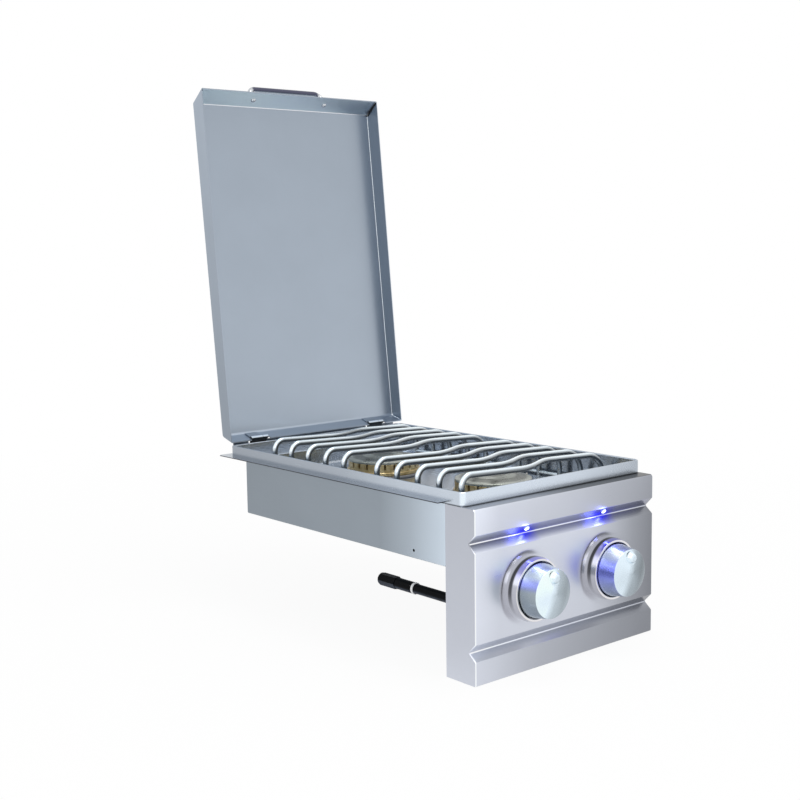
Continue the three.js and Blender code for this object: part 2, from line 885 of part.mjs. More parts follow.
function burnerBase(inletSide) {
  const flangeBottom = wellFloor + seatGap;
  const flangeTop = flangeBottom + burnerFlangeHeight;
  const cupBottom = wellFloor - burnerCupDepth;
  const inner = burnerCupRadius - burnerCupWall;
  const profile = [
    [0, cupBottom],
    [burnerCupRadius - burnerCupChamfer, cupBottom],
    [burnerCupRadius, cupBottom + burnerCupChamfer],
    [burnerCupRadius, flangeBottom],
    [burnerFlangeRadius, flangeBottom],
    [burnerFlangeRadius, flangeTop],
    [inner, flangeTop],
    [inner, cupBottom + burnerCupWall],
    [0, cupBottom + burnerCupWall],
  ];
  const bossStart = inner + burnerCupWall / 2;
  const boss = barX(burnerBossRadius, bossStart, burnerCupRadius + burnerBossLength, plainTurns);
  if (inletSide < 0) boss.rotateZ(Math.PI);
  return join(turnedZ(profile, fineTurns), boss.translate(0, 0, tubeHeight));
}

const ringBottom = wellFloor + seatGap + burnerFlangeHeight + seatGap;
const ringTop = ringBottom + ringHeight;
const capBottom = ringTop + seatGap;

function burnerRing() {
  const profile = [
    [ringInnerRadius, ringBottom],
    [ringOuterRadius, ringBottom],
    [ringOuterRadius, ringBottom + ringLowerHeight],
    [ringOuterRadius - ringLowerStep, ringBottom + ringLowerHeight],
    [ringOuterRadius - ringLowerStep, ringTop],
    [ringInnerRadius, ringTop],
  ];
  const ports = Array.from({ length: portCount }, (_, i) => {
    const port = block(
      ringOuterRadius - portDepth,
      ringOuterRadius + overrun,
      -portWidth / 2,
      portWidth / 2,
      ringTop - portHeight,
      ringTop + overrun,
    );
    return port.rotateZ(((i + 1 / 2) / portCount) * 2 * Math.PI);
  });
  return cut(turnedZ(profile, portCount), ...ports);
}

// The cap has as many facets as the ring, so that its spigot runs free in the ring's bore
function burnerCap() {
  const spigotOuter = ringInnerRadius - runningGap;
  const spigotInner = spigotOuter - capSpigotWall;
  const profile = [
    [0, capBottom],
    [spigotInner, capBottom],
    [spigotInner, capBottom - capSpigotDepth],
    [spigotOuter, capBottom - capSpigotDepth],
    [spigotOuter, capBottom],
    [capRadius, capBottom],
    ...domePoints(capRadius, capBottom + capEdge, capDome, capDomeSteps),
  ];
  return turnedZ(profile, portCount);
}

function igniter() {
  const collarBottom = wellFloor + seatGap;
  const profile = [
    [0, collarBottom - igniterBelow],
    [igniterRadius, collarBottom - igniterBelow],
    [igniterRadius, collarBottom],
    [igniterCollarRadius, collarBottom],
    [igniterCollarRadius, collarBottom + igniterCollarHeight],
    [igniterRadius, collarBottom + igniterCollarHeight],
    [igniterRadius, collarBottom + igniterAbove],
    [electrodeRadius, collarBottom + igniterAbove],
    [electrodeRadius, collarBottom + igniterAbove + electrodeLength],
    [0, collarBottom + igniterAbove + electrodeLength],
  ];
  return turnedZ(profile, smallTurns);
}

// One bar of a grate from foot to foot, swept back by an S in its middle and lower at its right end
function grateBar(setback) {
  const half = grateHalfSpan;
  const foot = wellFloor + seatGap;
  const along = (x) => {
    const share = THREE.MathUtils.clamp(x / grateShiftLength + 1 / 2, 0, 1);
    return setback + (grateShift * (1 - Math.cos(Math.PI * share))) / 2;
  };
  const height = (x) => grateBarHeight - grateFall * (x / (2 * half) + 1 / 2);
  const place = (x, z) => new THREE.Vector3(x, along(x), z);
  const onTop = (x) => place(x, height(x));
  const rising = roundedLine(
    [place(-half, foot), onTop(-half), onTop(-grateShiftLength / 2)],
    [grateLeftBend],
    bendSteps,
  );
  const sweep = Array.from({ length: grateShiftSteps - 1 }, (_, k) => {
    const share = (k + 1) / grateShiftSteps;
    return onTop((share - 1 / 2) * grateShiftLength);
  });
  const falling = roundedLine(
    [onTop(grateShiftLength / 2), onTop(half), place(half, foot)],
    [grateRightBend],
    bendSteps,
  );
  return bentBar([...rising, ...sweep, ...falling], grateBarRadius, barSides);
}

// Its bars are joined by a tie along the feet on each side
function grate(burnerDepth) {
  const setback = burnerDepth - ((grateBars - 1) * gratePitch + grateShift) / 2;
  const bars = Array.from({ length: grateBars }, (_, i) => grateBar(setback + i * gratePitch));
  const tieHeight = wellFloor + seatGap + grateTieRadius;
  const ties = Object.values(sides).map((sign) => {
    const start = setback + (sign > 0 ? grateShift : 0) - grateBarRadius;
    const end = start + (grateBars - 1) * gratePitch + 2 * grateBarRadius;
    const tie = barY(grateTieRadius, start, end, barSides);
    return tie.translate(sign * grateHalfSpan, 0, tieHeight);
  });
  return join(...bars, ...ties);
}

// A place on the lid's side view, from its length and height, in the frame of its hinge
function lidPlace(length, height) {
  return new THREE.Vector2(hingeInset - length, height - hingeRise);
}

const lidRearWay = new THREE.Vector2(lidRearSlant, lidRearDepth).normalize();
const lidRearIn = new THREE.Vector2(lidRearWay.y, -lidRearWay.x);

// A place on the rear wall, from its distance up the wall and its distance in from the outer face
function rearWallPlace(up, inward) {
  const place = lidRearWay.clone().multiplyScalar(up).addScaledVector(lidRearIn, inward);
  return lidPlace(place.x, place.y);
}

const lidFrontFoot = new THREE.Vector2(lidLength - lidFrontSlant, lidFrontDepth);
const lidFrontEdge = new THREE.Vector2(lidLength, 0);
const lidFrontMiddle = lidFrontFoot.clone().add(lidFrontEdge).divideScalar(2);
const lidFrontWay = lidFrontEdge.clone().sub(lidFrontFoot).normalize();
const lidFrontOut = new THREE.Vector2(-lidFrontWay.y, lidFrontWay.x);

// A place out from the middle of the front wall's outer face
function frontWallPlace(x, outward) {
  const spot = lidFrontMiddle.clone().addScaledVector(lidFrontOut, outward);
  const place = lidPlace(spot.x, spot.y);
  return new THREE.Vector3(x, place.x, place.y);
}

function lidShell() {
  const corners = vectors([
    [0, 0],
    [lidRearSlant, lidRearDepth],
    [lidFrontFoot.x, lidFrontFoot.y],
    [lidLength, 0],
  ]);
  const outer = roundedLine(corners, [lidRearBend, lidFrontBend], bendSteps);
  const inner = offsetLine(outer, sheet);
  inner[0].addScaledVector(lidRearWay, -overrun);
  inner.at(-1).addScaledVector(lidFrontWay, overrun);
  const lidHalf = halfWidth + lidOverhang;
  const side = (points) => points.map((point) => lidPlace(point.x, point.y));
  const body = prismX(side(outer), -lidHalf, lidHalf);
  const hollow = prismX(side(inner), sheet - lidHalf, lidHalf - sheet);
  const tools = [hollow];
  for (const sign of Object.values(sides)) {
    const middle = sign * hingeHalfSpacing;
    const slotHalf = (lidKnuckleLength + fixedKnuckleLength) / 2 + hingeSlotGap;
    const slot = [
      rearWallPlace(-overrun, -overrun),
      rearWallPlace(hingeSlotLength, -overrun),
      rearWallPlace(hingeSlotLength, sheet + overrun),
      rearWallPlace(-overrun, sheet + overrun),
    ];
    tools.push(prismX(slot, middle - slotHalf, middle + slotHalf));
    tools.push(handleScrewHole(sign));
  }
  return cut(body, ...tools);
}

// Lays a form made along Y onto the front wall's outward way, at one end of the handle
function onFrontWall(form, sign) {
  const place = frontWallPlace((sign * handleSpan) / 2, 0);
  const turn = Math.atan2(lidFrontOut.y, -lidFrontOut.x);
  return form.rotateX(turn).translate(place.x, place.y, place.z);
}

function handleScrewHole(sign) {
  return onFrontWall(barY(handleScrewRadius + seatGap, -sheet - overrun, overrun, smallTurns), sign);
}

function lidHandle() {
  const half = handleSpan / 2;
  const corners = [
    frontWallPlace(-half, seatGap),
    frontWallPlace(-half, handleStand),
    frontWallPlace(half, handleStand),
    frontWallPlace(half, seatGap),
  ];
  const bar = bentBar(roundedLine(corners, [handleBend, handleBend], bendSteps), handleRadius, barSides);
  const bores = Object.values(sides).map((sign) => {
    const depth = handleScrewDepth + seatGap;
    return onFrontWall(barY(handleScrewRadius + seatGap, -overrun, depth, smallTurns), sign);
  });
  return cut(bar, ...bores);
}

function handleScrew(sign) {
  const headFront = -sheet - seatGap;
  const headBack = headFront - handleScrewHeadHeight;
  const profile = [
    [0, headBack],
    [handleScrewHead, headBack + handleScrewHeadHeight / 2],
    [handleScrewHead, headFront],
    [handleScrewRadius, headFront],
    [handleScrewRadius, handleScrewDepth],
    [0, handleScrewDepth],
  ];
  return onFrontWall(turnedY(profile, smallTurns), sign);
}

function hingeStart(sign) {
  return sign * hingeHalfSpacing - (lidKnuckleLength + fixedKnuckleLength) / 2;
}

// The moving leaf, in the frame of the lid
function lidHingeLeaf(sign) {
  const start = hingeStart(sign);
  const end = start + lidKnuckleLength - runningGap;
  const near = sheet + seatGap;
  const axisUp = hingeInset * lidRearWay.x + hingeRise * lidRearWay.y;
  const outline = [
    rearWallPlace(axisUp, near),
    rearWallPlace(axisUp + hingeLeafLength, near),
    rearWallPlace(axisUp + hingeLeafLength, near + hingeLeafSheet),
    rearWallPlace(axisUp, near + hingeLeafSheet),
  ];
  const knuckle = barX(knuckleRadius, start, end, smallTurns);
  const bore = barX(knuckleBore, start - overrun, end + overrun, smallTurns);
  return cut(join(knuckle, prismX(outline, start, end)), bore);
}

// The height of the open lid's rear wall above a place behind the hinge
function openWallHeight(depth) {
  const turned = (place) => place.clone().rotateAround(new THREE.Vector2(), -lidOpenAngle);
  const low = turned(rearWallPlace(0, 0));
  const high = turned(rearWallPlace(lidRearDepth, 0));
  const share = (depth - hingeDepth - low.x) / (high.x - low.x);
  return hingeHeight + low.y + share * (high.y - low.y);
}

function hingeBracket(sign) {
  const start = hingeStart(sign);
  const end = start + lidKnuckleLength + fixedKnuckleLength;
  const fixedStart = start + lidKnuckleLength;
  const front = unitDepth + seatGap;
  const back = front + hingeLeafSheet;
  const leafBottom = sheet + seatGap;
  const leaf = block(start, end, front, back, leafBottom, rimHeight);
  const neck = block(fixedStart, end, front, back, leafBottom, hingeHeight);
  const knuckle = barX(knuckleRadius, fixedStart, end, smallTurns).translate(0, hingeDepth, hingeHeight);
  const bore = barX(knuckleBore, fixedStart - overrun, end + overrun, smallTurns);
  bore.translate(0, hingeDepth, hingeHeight);
  const bearing = back + stopStart;
  const tip = back + stopReach;
  const stop = vectors([
    [back - hingeLeafSheet / 2, leafBottom],
    [back + hingeLeafSheet, leafBottom],
    [tip, openWallHeight(tip) - seatGap - stopHeight],
    [tip, openWallHeight(tip) - seatGap],
    [bearing, openWallHeight(bearing) - seatGap],
    [back - hingeLeafSheet / 2, rimHeight],
  ]);
  return cut(join(leaf, neck, knuckle, prismX(stop, end - stopThickness, end)), bore);
}

function hingePin(sign) {
  const start = hingeStart(sign) + pinRecess;
  const end = hingeStart(sign) + lidKnuckleLength + fixedKnuckleLength;
  return barX(knuckleBore - runningGap, start, end, smallTurns);
}

// The fixed structure and the gas train
const structure = new THREE.Group();
structure.add(piece("control_panel", controlPanel(), brushedSteel()));
structure.add(piece("top_pan", topPan(), brushedSteel()));
structure.add(piece("burner_box", burnerBox(), brushedSteel()));
structure.add(piece("spark_module", sparkModule(), blackPlastic()));
structure.add(piece("manifold_pipe", manifoldPipe(), blackPipe()));
const inlet = new THREE.Group();
inlet.position.set(pipeInset - halfWidth, 0, pipeHeight);
inlet.add(piece("inlet_seal_ring", inletSealRing(), whitePlastic()));
inlet.add(piece("inlet_sleeve", inletSleeve(), blackPipe()));
inlet.add(piece("inlet_nut", inletNut(), blackPipe()));
structure.add(inlet);

// The lid and all that turns with it
const lid = new THREE.Group();
lid.position.set(0, hingeDepth, hingeHeight);
lid.rotation.x = -lidOpenAngle;
lid.add(piece("lid_shell", lidShell(), brushedSteel()));
lid.add(piece("lid_handle", lidHandle(), polishedSteel()));

for (const [side, sign] of Object.entries(sides)) {
  const controls = new THREE.Group();
  controls.position.set((sign * knobSpacing) / 2, 0, knobHeight);
  controls.add(piece(side + "_knob_bezel", knobBezel(), polishedSteel()));
  controls.add(piece(side + "_knob", knob(), polishedSteel()));
  controls.add(piece(side + "_valve_stem", valveStem(), polishedSteel()));
  controls.add(piece(side + "_valve_plug", valvePlug(), burnerBrass()));
  controls.add(piece(side + "_valve_body", valveBody(), castAluminium()));
  structure.add(controls);

  const lamp = new THREE.Group();
  lamp.position.set((sign * knobSpacing) / 2, facetPlace.y, facetPlace.z);
  lamp.rotation.x = facetTurn;
  lamp.add(piece(side + "_lamp_lens", lampLens(), blueLens()));
  lamp.add(piece(side + "_lamp_socket", lampSocket(), blackPlastic()));
  structure.add(lamp);

  structure.add(piece(side + "_panel_bracket", panelBracket(sign), brushedSteel()));
  structure.add(piece(side + "_hinge_bracket", hingeBracket(sign), brushedSteel()));
  const pin = piece(side + "_hinge_pin", hingePin(sign), polishedSteel());
  pin.position.set(0, hingeDepth, hingeHeight);
  structure.add(pin);
  lid.add(piece(side + "_lid_hinge_leaf", lidHingeLeaf(sign), brushedSteel()));
  lid.add(piece(side + "_handle_screw", handleScrew(sign), polishedSteel()));
}

// The two burners with their grates and gas tubes
const burners = [
  { name: "front", setback: frontBurnerDepth, inletSide: 1 },
  { name: "rear", setback: rearBurnerDepth, inletSide: -1 },
];
for (const { name, setback, inletSide } of burners) {
  const head = new THREE.Group();
  head.position.set(0, setback, 0);
  head.add(piece(name + "_burner_base", burnerBase(inletSide), castAluminium()));
  head.add(piece(name + "_burner_ring", burnerRing(), burnerBrass()));
  head.add(piece(name + "_burner_cap", burnerCap(), capSteel()));
  const spark = piece(name + "_igniter", igniter(), whiteCeramic());
  spark.position.set(igniterOffset, 0, 0);
  head.add(spark);
  structure.add(head);
  structure.add(piece(name + "_gas_tube", gasTube(inletSide, setback), castAluminium()));
  structure.add(piece(name + "_grate", grate(setback), polishedSteel()));
}

const sideBurner = new THREE.Group();
sideBurner.add(structure, lid);
structure.position.set(0, -originDepth, 0);
lid.position.y -= originDepth;

export default sideBurner;
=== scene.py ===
import json
from functools import cache
from math import asin, atan2, cos, degrees, hypot, pi, radians, sin, tan

import bmesh
import bpy
from mathutils import Matrix, Vector
from mathutils.kdtree import KDTree


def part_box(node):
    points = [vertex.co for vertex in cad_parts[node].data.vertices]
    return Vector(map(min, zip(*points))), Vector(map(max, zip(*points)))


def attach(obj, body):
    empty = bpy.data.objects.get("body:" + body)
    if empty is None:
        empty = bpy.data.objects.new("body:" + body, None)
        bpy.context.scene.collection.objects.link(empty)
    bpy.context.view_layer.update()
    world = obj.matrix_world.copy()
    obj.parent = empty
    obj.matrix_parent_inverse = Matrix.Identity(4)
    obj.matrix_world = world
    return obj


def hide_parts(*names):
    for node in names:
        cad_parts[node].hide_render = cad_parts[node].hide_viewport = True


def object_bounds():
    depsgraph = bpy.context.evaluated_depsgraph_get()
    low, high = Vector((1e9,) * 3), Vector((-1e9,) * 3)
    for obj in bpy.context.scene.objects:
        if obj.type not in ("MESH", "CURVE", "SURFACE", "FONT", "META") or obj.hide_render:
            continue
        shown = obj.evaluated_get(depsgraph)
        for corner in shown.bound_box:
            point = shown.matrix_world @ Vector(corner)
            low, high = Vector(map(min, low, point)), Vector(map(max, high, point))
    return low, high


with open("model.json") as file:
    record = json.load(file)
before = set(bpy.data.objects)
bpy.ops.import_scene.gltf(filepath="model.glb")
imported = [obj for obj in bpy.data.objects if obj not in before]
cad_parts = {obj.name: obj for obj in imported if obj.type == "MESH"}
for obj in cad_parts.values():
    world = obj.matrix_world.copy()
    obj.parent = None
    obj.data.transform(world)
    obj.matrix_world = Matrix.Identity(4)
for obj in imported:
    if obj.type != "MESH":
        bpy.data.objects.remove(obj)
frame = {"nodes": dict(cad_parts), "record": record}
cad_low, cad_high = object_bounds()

MM = 0.001
MERGE = 0.002 * MM
FULL_TURN = 2 * pi
QUARTER = FULL_TURN / 4

# Fineness of round forms
FINE = 96
ROUND = 48
SMALL = 24
BAR_SIDES = 20
ARC_STEPS = 6
SMOOTH_BELOW = radians(32)

# Sheet metal that many pieces share
SHEET = 1.2
GAP = 0.3
FOLD = 2.0


def span(node):
    """A CAD node's lowest and highest corner, in millimetres."""
    low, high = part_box(node)
    return low / MM, high / MM


def middle(node):
    low, high = span(node)
    return (low + high) / 2


# Places that the frame gives
PANEL_LOW, PANEL_HIGH = span("control_panel")
PAN_HIGH = span("top_pan")[1]
BOX_LOW, BOX_HIGH = span("burner_box")
FRONT = PANEL_LOW.y
HALF = PANEL_HIGH.x
SIDES = {"left": -1, "right": 1}
BURNERS = ("front", "rear")


# Lines and outlines

def steps(start, end, count):
    """Evenly spaced numbers from start to end, both included."""
    return [start + (end - start) * k / count for k in range(count + 1)]


def rounded(corners, radii, count=ARC_STEPS):
    """A line through the corners, with an arc of the given radius at each inner one."""
    line = [Vector(corners[0])]
    for before, corner, after, radius in zip(corners, corners[1:], corners[2:], radii):
        corner = Vector(corner)
        if radius == 0:
            line.append(corner)
            continue
        back = (Vector(before) - corner).normalized()
        ahead = (Vector(after) - corner).normalized()
        half = back.angle(ahead) / 2
        centre = corner + (back + ahead).normalized() * (radius / sin(half))
        reach = radius / tan(half)
        start = corner + back * reach - centre
        end = corner + ahead * reach - centre
        line += [centre + start.slerp(end, share) * radius for share in steps(0, 1, count)]
    line.append(Vector(corners[-1]))
    return line


def inward_ways(line):
    """For each place of an outline, the mitred way to its right, as long as keeps the walls apart evenly."""
    ways = []
    for i, place in enumerate(line):
        before = (place - line[i - 1]).normalized() if i else (line[1] - place).normalized()
        after = (line[i + 1] - place).normalized() if i < len(line) - 1 else before
        first = Vector((before.y, -before.x))
        second = Vector((after.y, -after.x))
        mitre = (first + second).normalized()
        ways.append(mitre / mitre.dot(first))
    return ways


def ring_loop(radius, count, height=0):
    """A level circle of places."""
    angles = [FULL_TURN * k / count for k in range(count)]
    return [Vector((radius * cos(a), radius * sin(a), height)) for a in angles]


def rectangle_loop(half, near, far, radius, height, across=(), along=()):
    """A level rectangle of places with rounded corners, and further places on its front and its sides."""
    centres = [
        (half - radius, far - radius, 0),
        (radius - half, far - radius, 1),
        (radius - half, near + radius, 2),
        (half - radius, near + radius, 3),
    ]
    further = [
        [],
        [Vector((-half, y, height)) for y in sorted(along, reverse=True)],
        [Vector((x, near, height)) for x in sorted(across)],
        [Vector((half, y, height)) for y in sorted(along)],
    ]
    loop = []
    for x, y, quarter in centres:
        for share in steps(0, 1, ARC_STEPS):
            angle = (quarter + share) * QUARTER
            loop.append(Vector((x + radius * cos(angle), y + radius * sin(angle), height)))
        loop += further[quarter]
    return loop


class Form:
    """Places in millimetres and the faces between them."""

    def __init__(self):
        self.places = []
        self.faces = []

    def add(self, places, faces):
        start = len(self.places)
        self.places += [Vector(place) for place in places]
        self.faces += [[start + i for i in face] for face in faces]
        return self

    def grid(self, rows, around=False, along=False, keep=lambda i, k: True):
        """Four-cornered faces between rows of places, closed around the rows or along them where asked."""
        count = len(rows[0])
        faces = []
        for i in range(len(rows) if along else len(rows) - 1):
            j = (i + 1) % len(rows)
            for k in range(count if around else count - 1):
                m = (k + 1) % count
                if keep(i, k):
                    faces.append([i * count + k, i * count + m, j * count + m, j * count + k])
        return self.add([place for row in rows for place in row], faces)

    def sheet(self, outline):
        return self.add(outline, [list(range(len(outline)))])

    def join(self, other):
        return self.add(other.places, other.faces)

    def move(self, matrix):
        self.places = [matrix @ place for place in self.places]
        return self

    def shift(self, x=0, y=0, z=0):
        return self.move(Matrix.Translation((x, y, z)))


def shell(outer, inner):
    """Joins two skins that have the same faces into one closed sheet."""
    count = len(outer.places)
    tree = KDTree(count)
    for i, place in enumerate(outer.places):
        tree.insert(place, i)
    tree.balance()
    same = [min(found[1] for found in tree.find_range(place, MERGE / MM)) for place in outer.places]
    uses = {}
    for face in outer.faces:
        for a, b in zip(face, face[1:] + face[:1]):
            uses.setdefault(frozenset((same[a], same[b])), []).append((a, b))
    borders = [pairs[0] for ends, pairs in uses.items() if len(pairs) == 1 and len(ends) == 2]
    form = Form().join(outer).join(inner)
    form.faces += [[a, b, b + count, a + count] for a, b in borders]
    return form


def folded_skins(profile, ways, weights, half, flats, foot, put, keep):
    """The outer and inner skin of a sheet led along a profile and folded at either end to a foot line."""
    skins = []
    for depth in (0, SHEET):
        radius = FOLD - depth
        fold = []
        for angle in steps(0, QUARTER, ARC_STEPS):
            fold.append((depth - half + radius * (1 - cos(angle)), radius * (1 - sin(angle))))
        columns = fold + [(x, 0) for x in flats] + [(-x, inset) for x, inset in reversed(fold)]
        rows = []
        for place, way, weight in zip(profile, ways, weights):
            line = [(x, place + way * (depth + weight * inset)) for x, inset in columns]
            first, last = line[0], line[-1]
            line = [(first[0], foot(first[1])), *line, (last[0], foot(last[1]))]
            rows.append([put(x, spot) for x, spot in line])
        skins.append(Form().grid(rows, keep=keep))
    return skins


def lathe(profile, count=ROUND, closed=False):
    """A profile of radius and height turned round Z."""
    return Form().grid([ring_loop(r, count, z) for r, z in profile], around=True, along=closed)


def on_panel(form, x, z):
    """Turns a form made along Z so that its top looks to the front, and puts it on the panel."""
    return form.move(Matrix.Rotation(radians(90), 4, "X")).shift(x, FRONT, z)


def facing(way):
    """The turn that makes a form's top look along a way."""
    return Vector((0, 0, 1)).rotation_difference(way).to_matrix().to_4x4()


def along_x(form):
    return form.move(Matrix.Rotation(radians(90), 4, "Y"))


def along_y(form):
    return form.move(Matrix.Rotation(radians(-90), 4, "X"))


def prism(outline, start, end):
    """A closed outline of Y and Z places, from one X place to another."""
    rows = [[Vector((x, y, z)) for y, z in outline] for x in (start, end)]
    form = Form().grid(rows, around=True)
    return form.sheet(rows[0]).sheet(rows[1])


def slab(front, back, bottom, top, start, end):
    return prism([(front, bottom), (back, bottom), (back, top), (front, top)], start, end)


def tube_profile(inner, outer, start, end, radii, count=4):
    """The closed section of a tube, with its outer edges and the inner one at its end rounded."""
    return rounded([(inner, start), (outer, start), (outer, end), (inner, end), (inner, start)], radii, count)


def drill(radius, start, end, count=SMALL):
    """A plain round form for cutting a hole."""
    return lathe([(0, start), (radius, start), (radius, end), (0, end)], count)


def bar(path, radius, sides=BAR_SIDES, nose=0.35):
    """A round bar along a path, with slightly domed ends."""
    ways = []
    for i in range(len(path)):
        ways.append((path[min(i + 1, len(path) - 1)] - path[max(i - 1, 0)]).normalized())
    side = ways[0].orthogonal().normalized()
    rows = []
    for place, way in zip(path, ways):
        side = (side - way * side.dot(way)).normalized()
        up = way.cross(side)
        rows.append([place + side * p.x + up * p.y for p in ring_loop(radius, sides)])
    ends = []
    for row, place, way in ((rows[0], path[0], -ways[0]), (rows[-1], path[-1], ways[-1])):
        dome = []
        for share in steps(0, 1, 3)[1:]:
            angle = share * QUARTER
            out = way * (radius * nose * sin(angle))
            dome.append([place + (p - place) * cos(angle) + out for p in row])
        ends.append(dome)
    return Form().grid(list(reversed(ends[0])) + rows + ends[1], around=True)


def mesh_of(name, form):
    """A form as a mesh, with double places joined and its faces turned outwards."""
    shape = bmesh.new()
    corners = [shape.verts.new(place * MM) for place in form.places]
    for face in form.faces:
        shape.faces.new([corners[i] for i in face])
    bmesh.ops.remove_doubles(shape, verts=shape.verts, dist=MERGE)
    bmesh.ops.recalc_face_normals(shape, faces=shape.faces)
    mesh = bpy.data.meshes.new(name)
    shape.to_mesh(mesh)
    shape.free()
    return mesh


def smoothed(mesh):
    """Shades a mesh smooth, apart from its sharp edges."""
    mesh.polygons.foreach_set("use_smooth", [True] * len(mesh.polygons))
    mesh.set_sharp_from_angle(angle=SMOOTH_BELOW)
    return mesh


def add_object(name, data):
    made = bpy.data.objects.new(name, data)
    bpy.context.scene.collection.objects.link(made)
    return made


def make(name, form, slot, *nodes, body="root"):
    """Makes a piece of the object from a form, in place of the CAD nodes that are named."""
    piece = add_object(name, smoothed(mesh_of(name, form)))
    piece.data.materials.append(finish(slot))
    piece.modifiers.new("normals", "WEIGHTED_NORMAL").keep_sharp = True
    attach(piece, body)
    if nodes:
        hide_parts(*nodes)
    return piece


def paint_light(piece, rule, name="paint_light"):
    """Paints light and shade into a piece's colour, lighter or darker by the share that the rule gives for
    each corner.
    """
    mesh = piece.data
    ways = [normal.vector.copy() for normal in mesh.corner_normals]
    places = [mesh.vertices[corner.vertex_index].co / MM for corner in mesh.loops]
    shares = [rule(place, way) for place, way in zip(places, ways)]
    mesh.attributes.new(name, "FLOAT", "CORNER").data.foreach_set("value", shares)
    return piece


def glow(piece, rule):
    """Paints the blue light of the lamps that shine on a piece into its colour."""
    return paint_light(piece, rule, "glow")


def grade(value, *stops):
    """A number that runs straight from stop to stop, each a place and the number there."""
    if value <= stops[0][0]:
        return stops[0][1]
    for (start, first), (end, last) in zip(stops, stops[1:]):
        if value <= end:
            return first + (last - first) * (value - start) / (end - start)
    return stops[-1][1]


def bore(piece, *forms):
    """Cuts forms out of a piece."""
    for form in forms:
        cutter = add_object("cutter", mesh_of("cutter", form))
        cut = piece.modifiers.new("cut", "BOOLEAN")
        cut.operation = "DIFFERENCE"
        cut.object = cutter
        cut.solver = "EXACT"
        settle(piece)
        bpy.data.objects.remove(cutter)
    return piece


def settle(piece):
    """Turns a piece's modifiers into mesh."""
    bpy.context.view_layer.update()
    graph = bpy.context.evaluated_depsgraph_get()
    mesh = bpy.data.meshes.new_from_object(piece.evaluated_get(graph))
    piece.modifiers.clear()
    piece.data = smoothed(mesh)


# Colours and finishes

def colour(red, green, blue):
    """A colour given as it shows on a screen, from 0 to 255, as Blender's own numbers."""
    def linear(value):
        share = value / 255
        return share / 12.92 if share <= 0.04045 else ((share + 0.055) / 1.055) ** 2.4
    return (linear(red), linear(green), linear(blue), 1)


# The blue of the lamps' light, painted into the colour of the pieces near them
GLOW_COLOUR = colour(78, 80, 250)
WHITE = (1, 1, 1, 1)

# The part of a noise that most of it lies in
NOISE_LOW = 0.3
NOISE_HIGH = 0.7


def add_node(tree, kind, *values, operation=None, **named):
    """A new node, whose first inputs and named ones are set to a value or linked to a socket."""
    made = tree.nodes.new("ShaderNode" + kind)
    if operation:
        made.operation = operation
    inputs = list(zip(made.inputs, values))
    inputs += [(made.inputs[name.replace("_", " ")], value) for name, value in named.items()]
    for socket, value in inputs:
        if isinstance(value, bpy.types.NodeSocket):
            tree.links.new(value, socket)
        else:
            socket.default_value = value
    return made


class Finish:
    """A material whose nodes are made and linked by short calls."""

    def __init__(self, name):
        self.material = bpy.data.materials.new(name)
        self.material.use_nodes = True
        self.tree = self.material.node_tree
        self.shader = self.tree.nodes["Principled BSDF"]
        self.where = self.node("TexCoord").outputs["Object"]

    def node(self, kind, *values, **named):
        return add_node(self.tree, kind, *values, **named)

    def set(self, **values):
        for name, value in values.items():
            self.shader.inputs[name.replace("_", " ")].default_value = value
        return self

    def feed(self, source, name):
        self.tree.links.new(source, self.shader.inputs[name])

    def noise(self, scale, stretch=(1, 1, 1), detail=3, roughness=0.55):
        """Noise from 0 to 1, finer along an axis with a larger stretch."""
        mapped = self.node("Mapping", Vector=self.where, Scale=stretch).outputs[0]
        made = self.node("TexNoise", Vector=mapped, Scale=scale, Detail=detail, Roughness=roughness)
        return made.outputs["Fac"]

    def between(self, source, low, high):
        """Maps the middle of a noise to a range of numbers."""
        return self.node("MapRange", source, NOISE_LOW, NOISE_HIGH, low, high).outputs[0]

    def blend(self, source, first, second):
        """A colour between two, by a noise."""
        made = self.node("ValToRGB", source)
        for element, place, tint in zip(made.color_ramp.elements, (NOISE_LOW, NOISE_HIGH), (first, second)):
            element.position = place
            element.color = tint
        return made.outputs["Color"]

    def share(self, name):
        """A number that a piece may have from place to place."""
        made = self.node("Attribute")
        made.attribute_name = name
        return made.outputs["Fac"]

    def toned(self, source):
        """A colour made lighter or darker by the piece's painted light and shade, and bluer by its painted
        lamp light, where it has them.
        """
        whole = self.node("Math", self.share("paint_light"), 1, operation="ADD").outputs[0]
        lit = self.node("VectorMath", source, Scale=whole, operation="SCALE").outputs[0]
        held = self.node("VectorMath", lit, (1, 1, 1), operation="MINIMUM").outputs[0]
        mixed = self.node("Mix")
        mixed.data_type = "RGBA"
        factor, first, second = mixed.inputs["Factor"], mixed.inputs[6], mixed.inputs[7]
        self.tree.links.new(self.share("glow"), factor)
        self.tree.links.new(held, first)
        second.default_value = GLOW_COLOUR
        return mixed.outputs[2]

    def relief(self, source, height):
        """A bump of the given height in millimetres."""
        made = self.node("Bump", Height=source, Strength=1, Distance=height * MM)
        self.feed(made.outputs[0], "Normal")


def scaled(tint, share):
    return (tint[0] * share, tint[1] * share, tint[2] * share, 1)


def brushed(name, tint, roughness, stretch, relief=0.002, spread=0.04):
    """Brushed sheet metal: fine lines along one way, and soft clouds of handling over them."""
    metal = Finish(name).set(Metallic=1.0)
    lines = metal.noise(900, stretch, detail=4, roughness=0.6)
    clouds = metal.noise(9, detail=4)
    tints = metal.blend(clouds, scaled(tint, 1 - CLOUD_SHADE), scaled(tint, 1 + CLOUD_SHADE))
    metal.feed(metal.toned(tints), "Base Color")
    both = metal.node("Math", lines, clouds, operation="ADD").outputs[0]
    half = metal.node("Math", both, 0.5, operation="MULTIPLY").outputs[0]
    metal.feed(metal.between(half, roughness - spread, roughness + spread), "Roughness")
    metal.relief(lines, relief)
    return metal.material


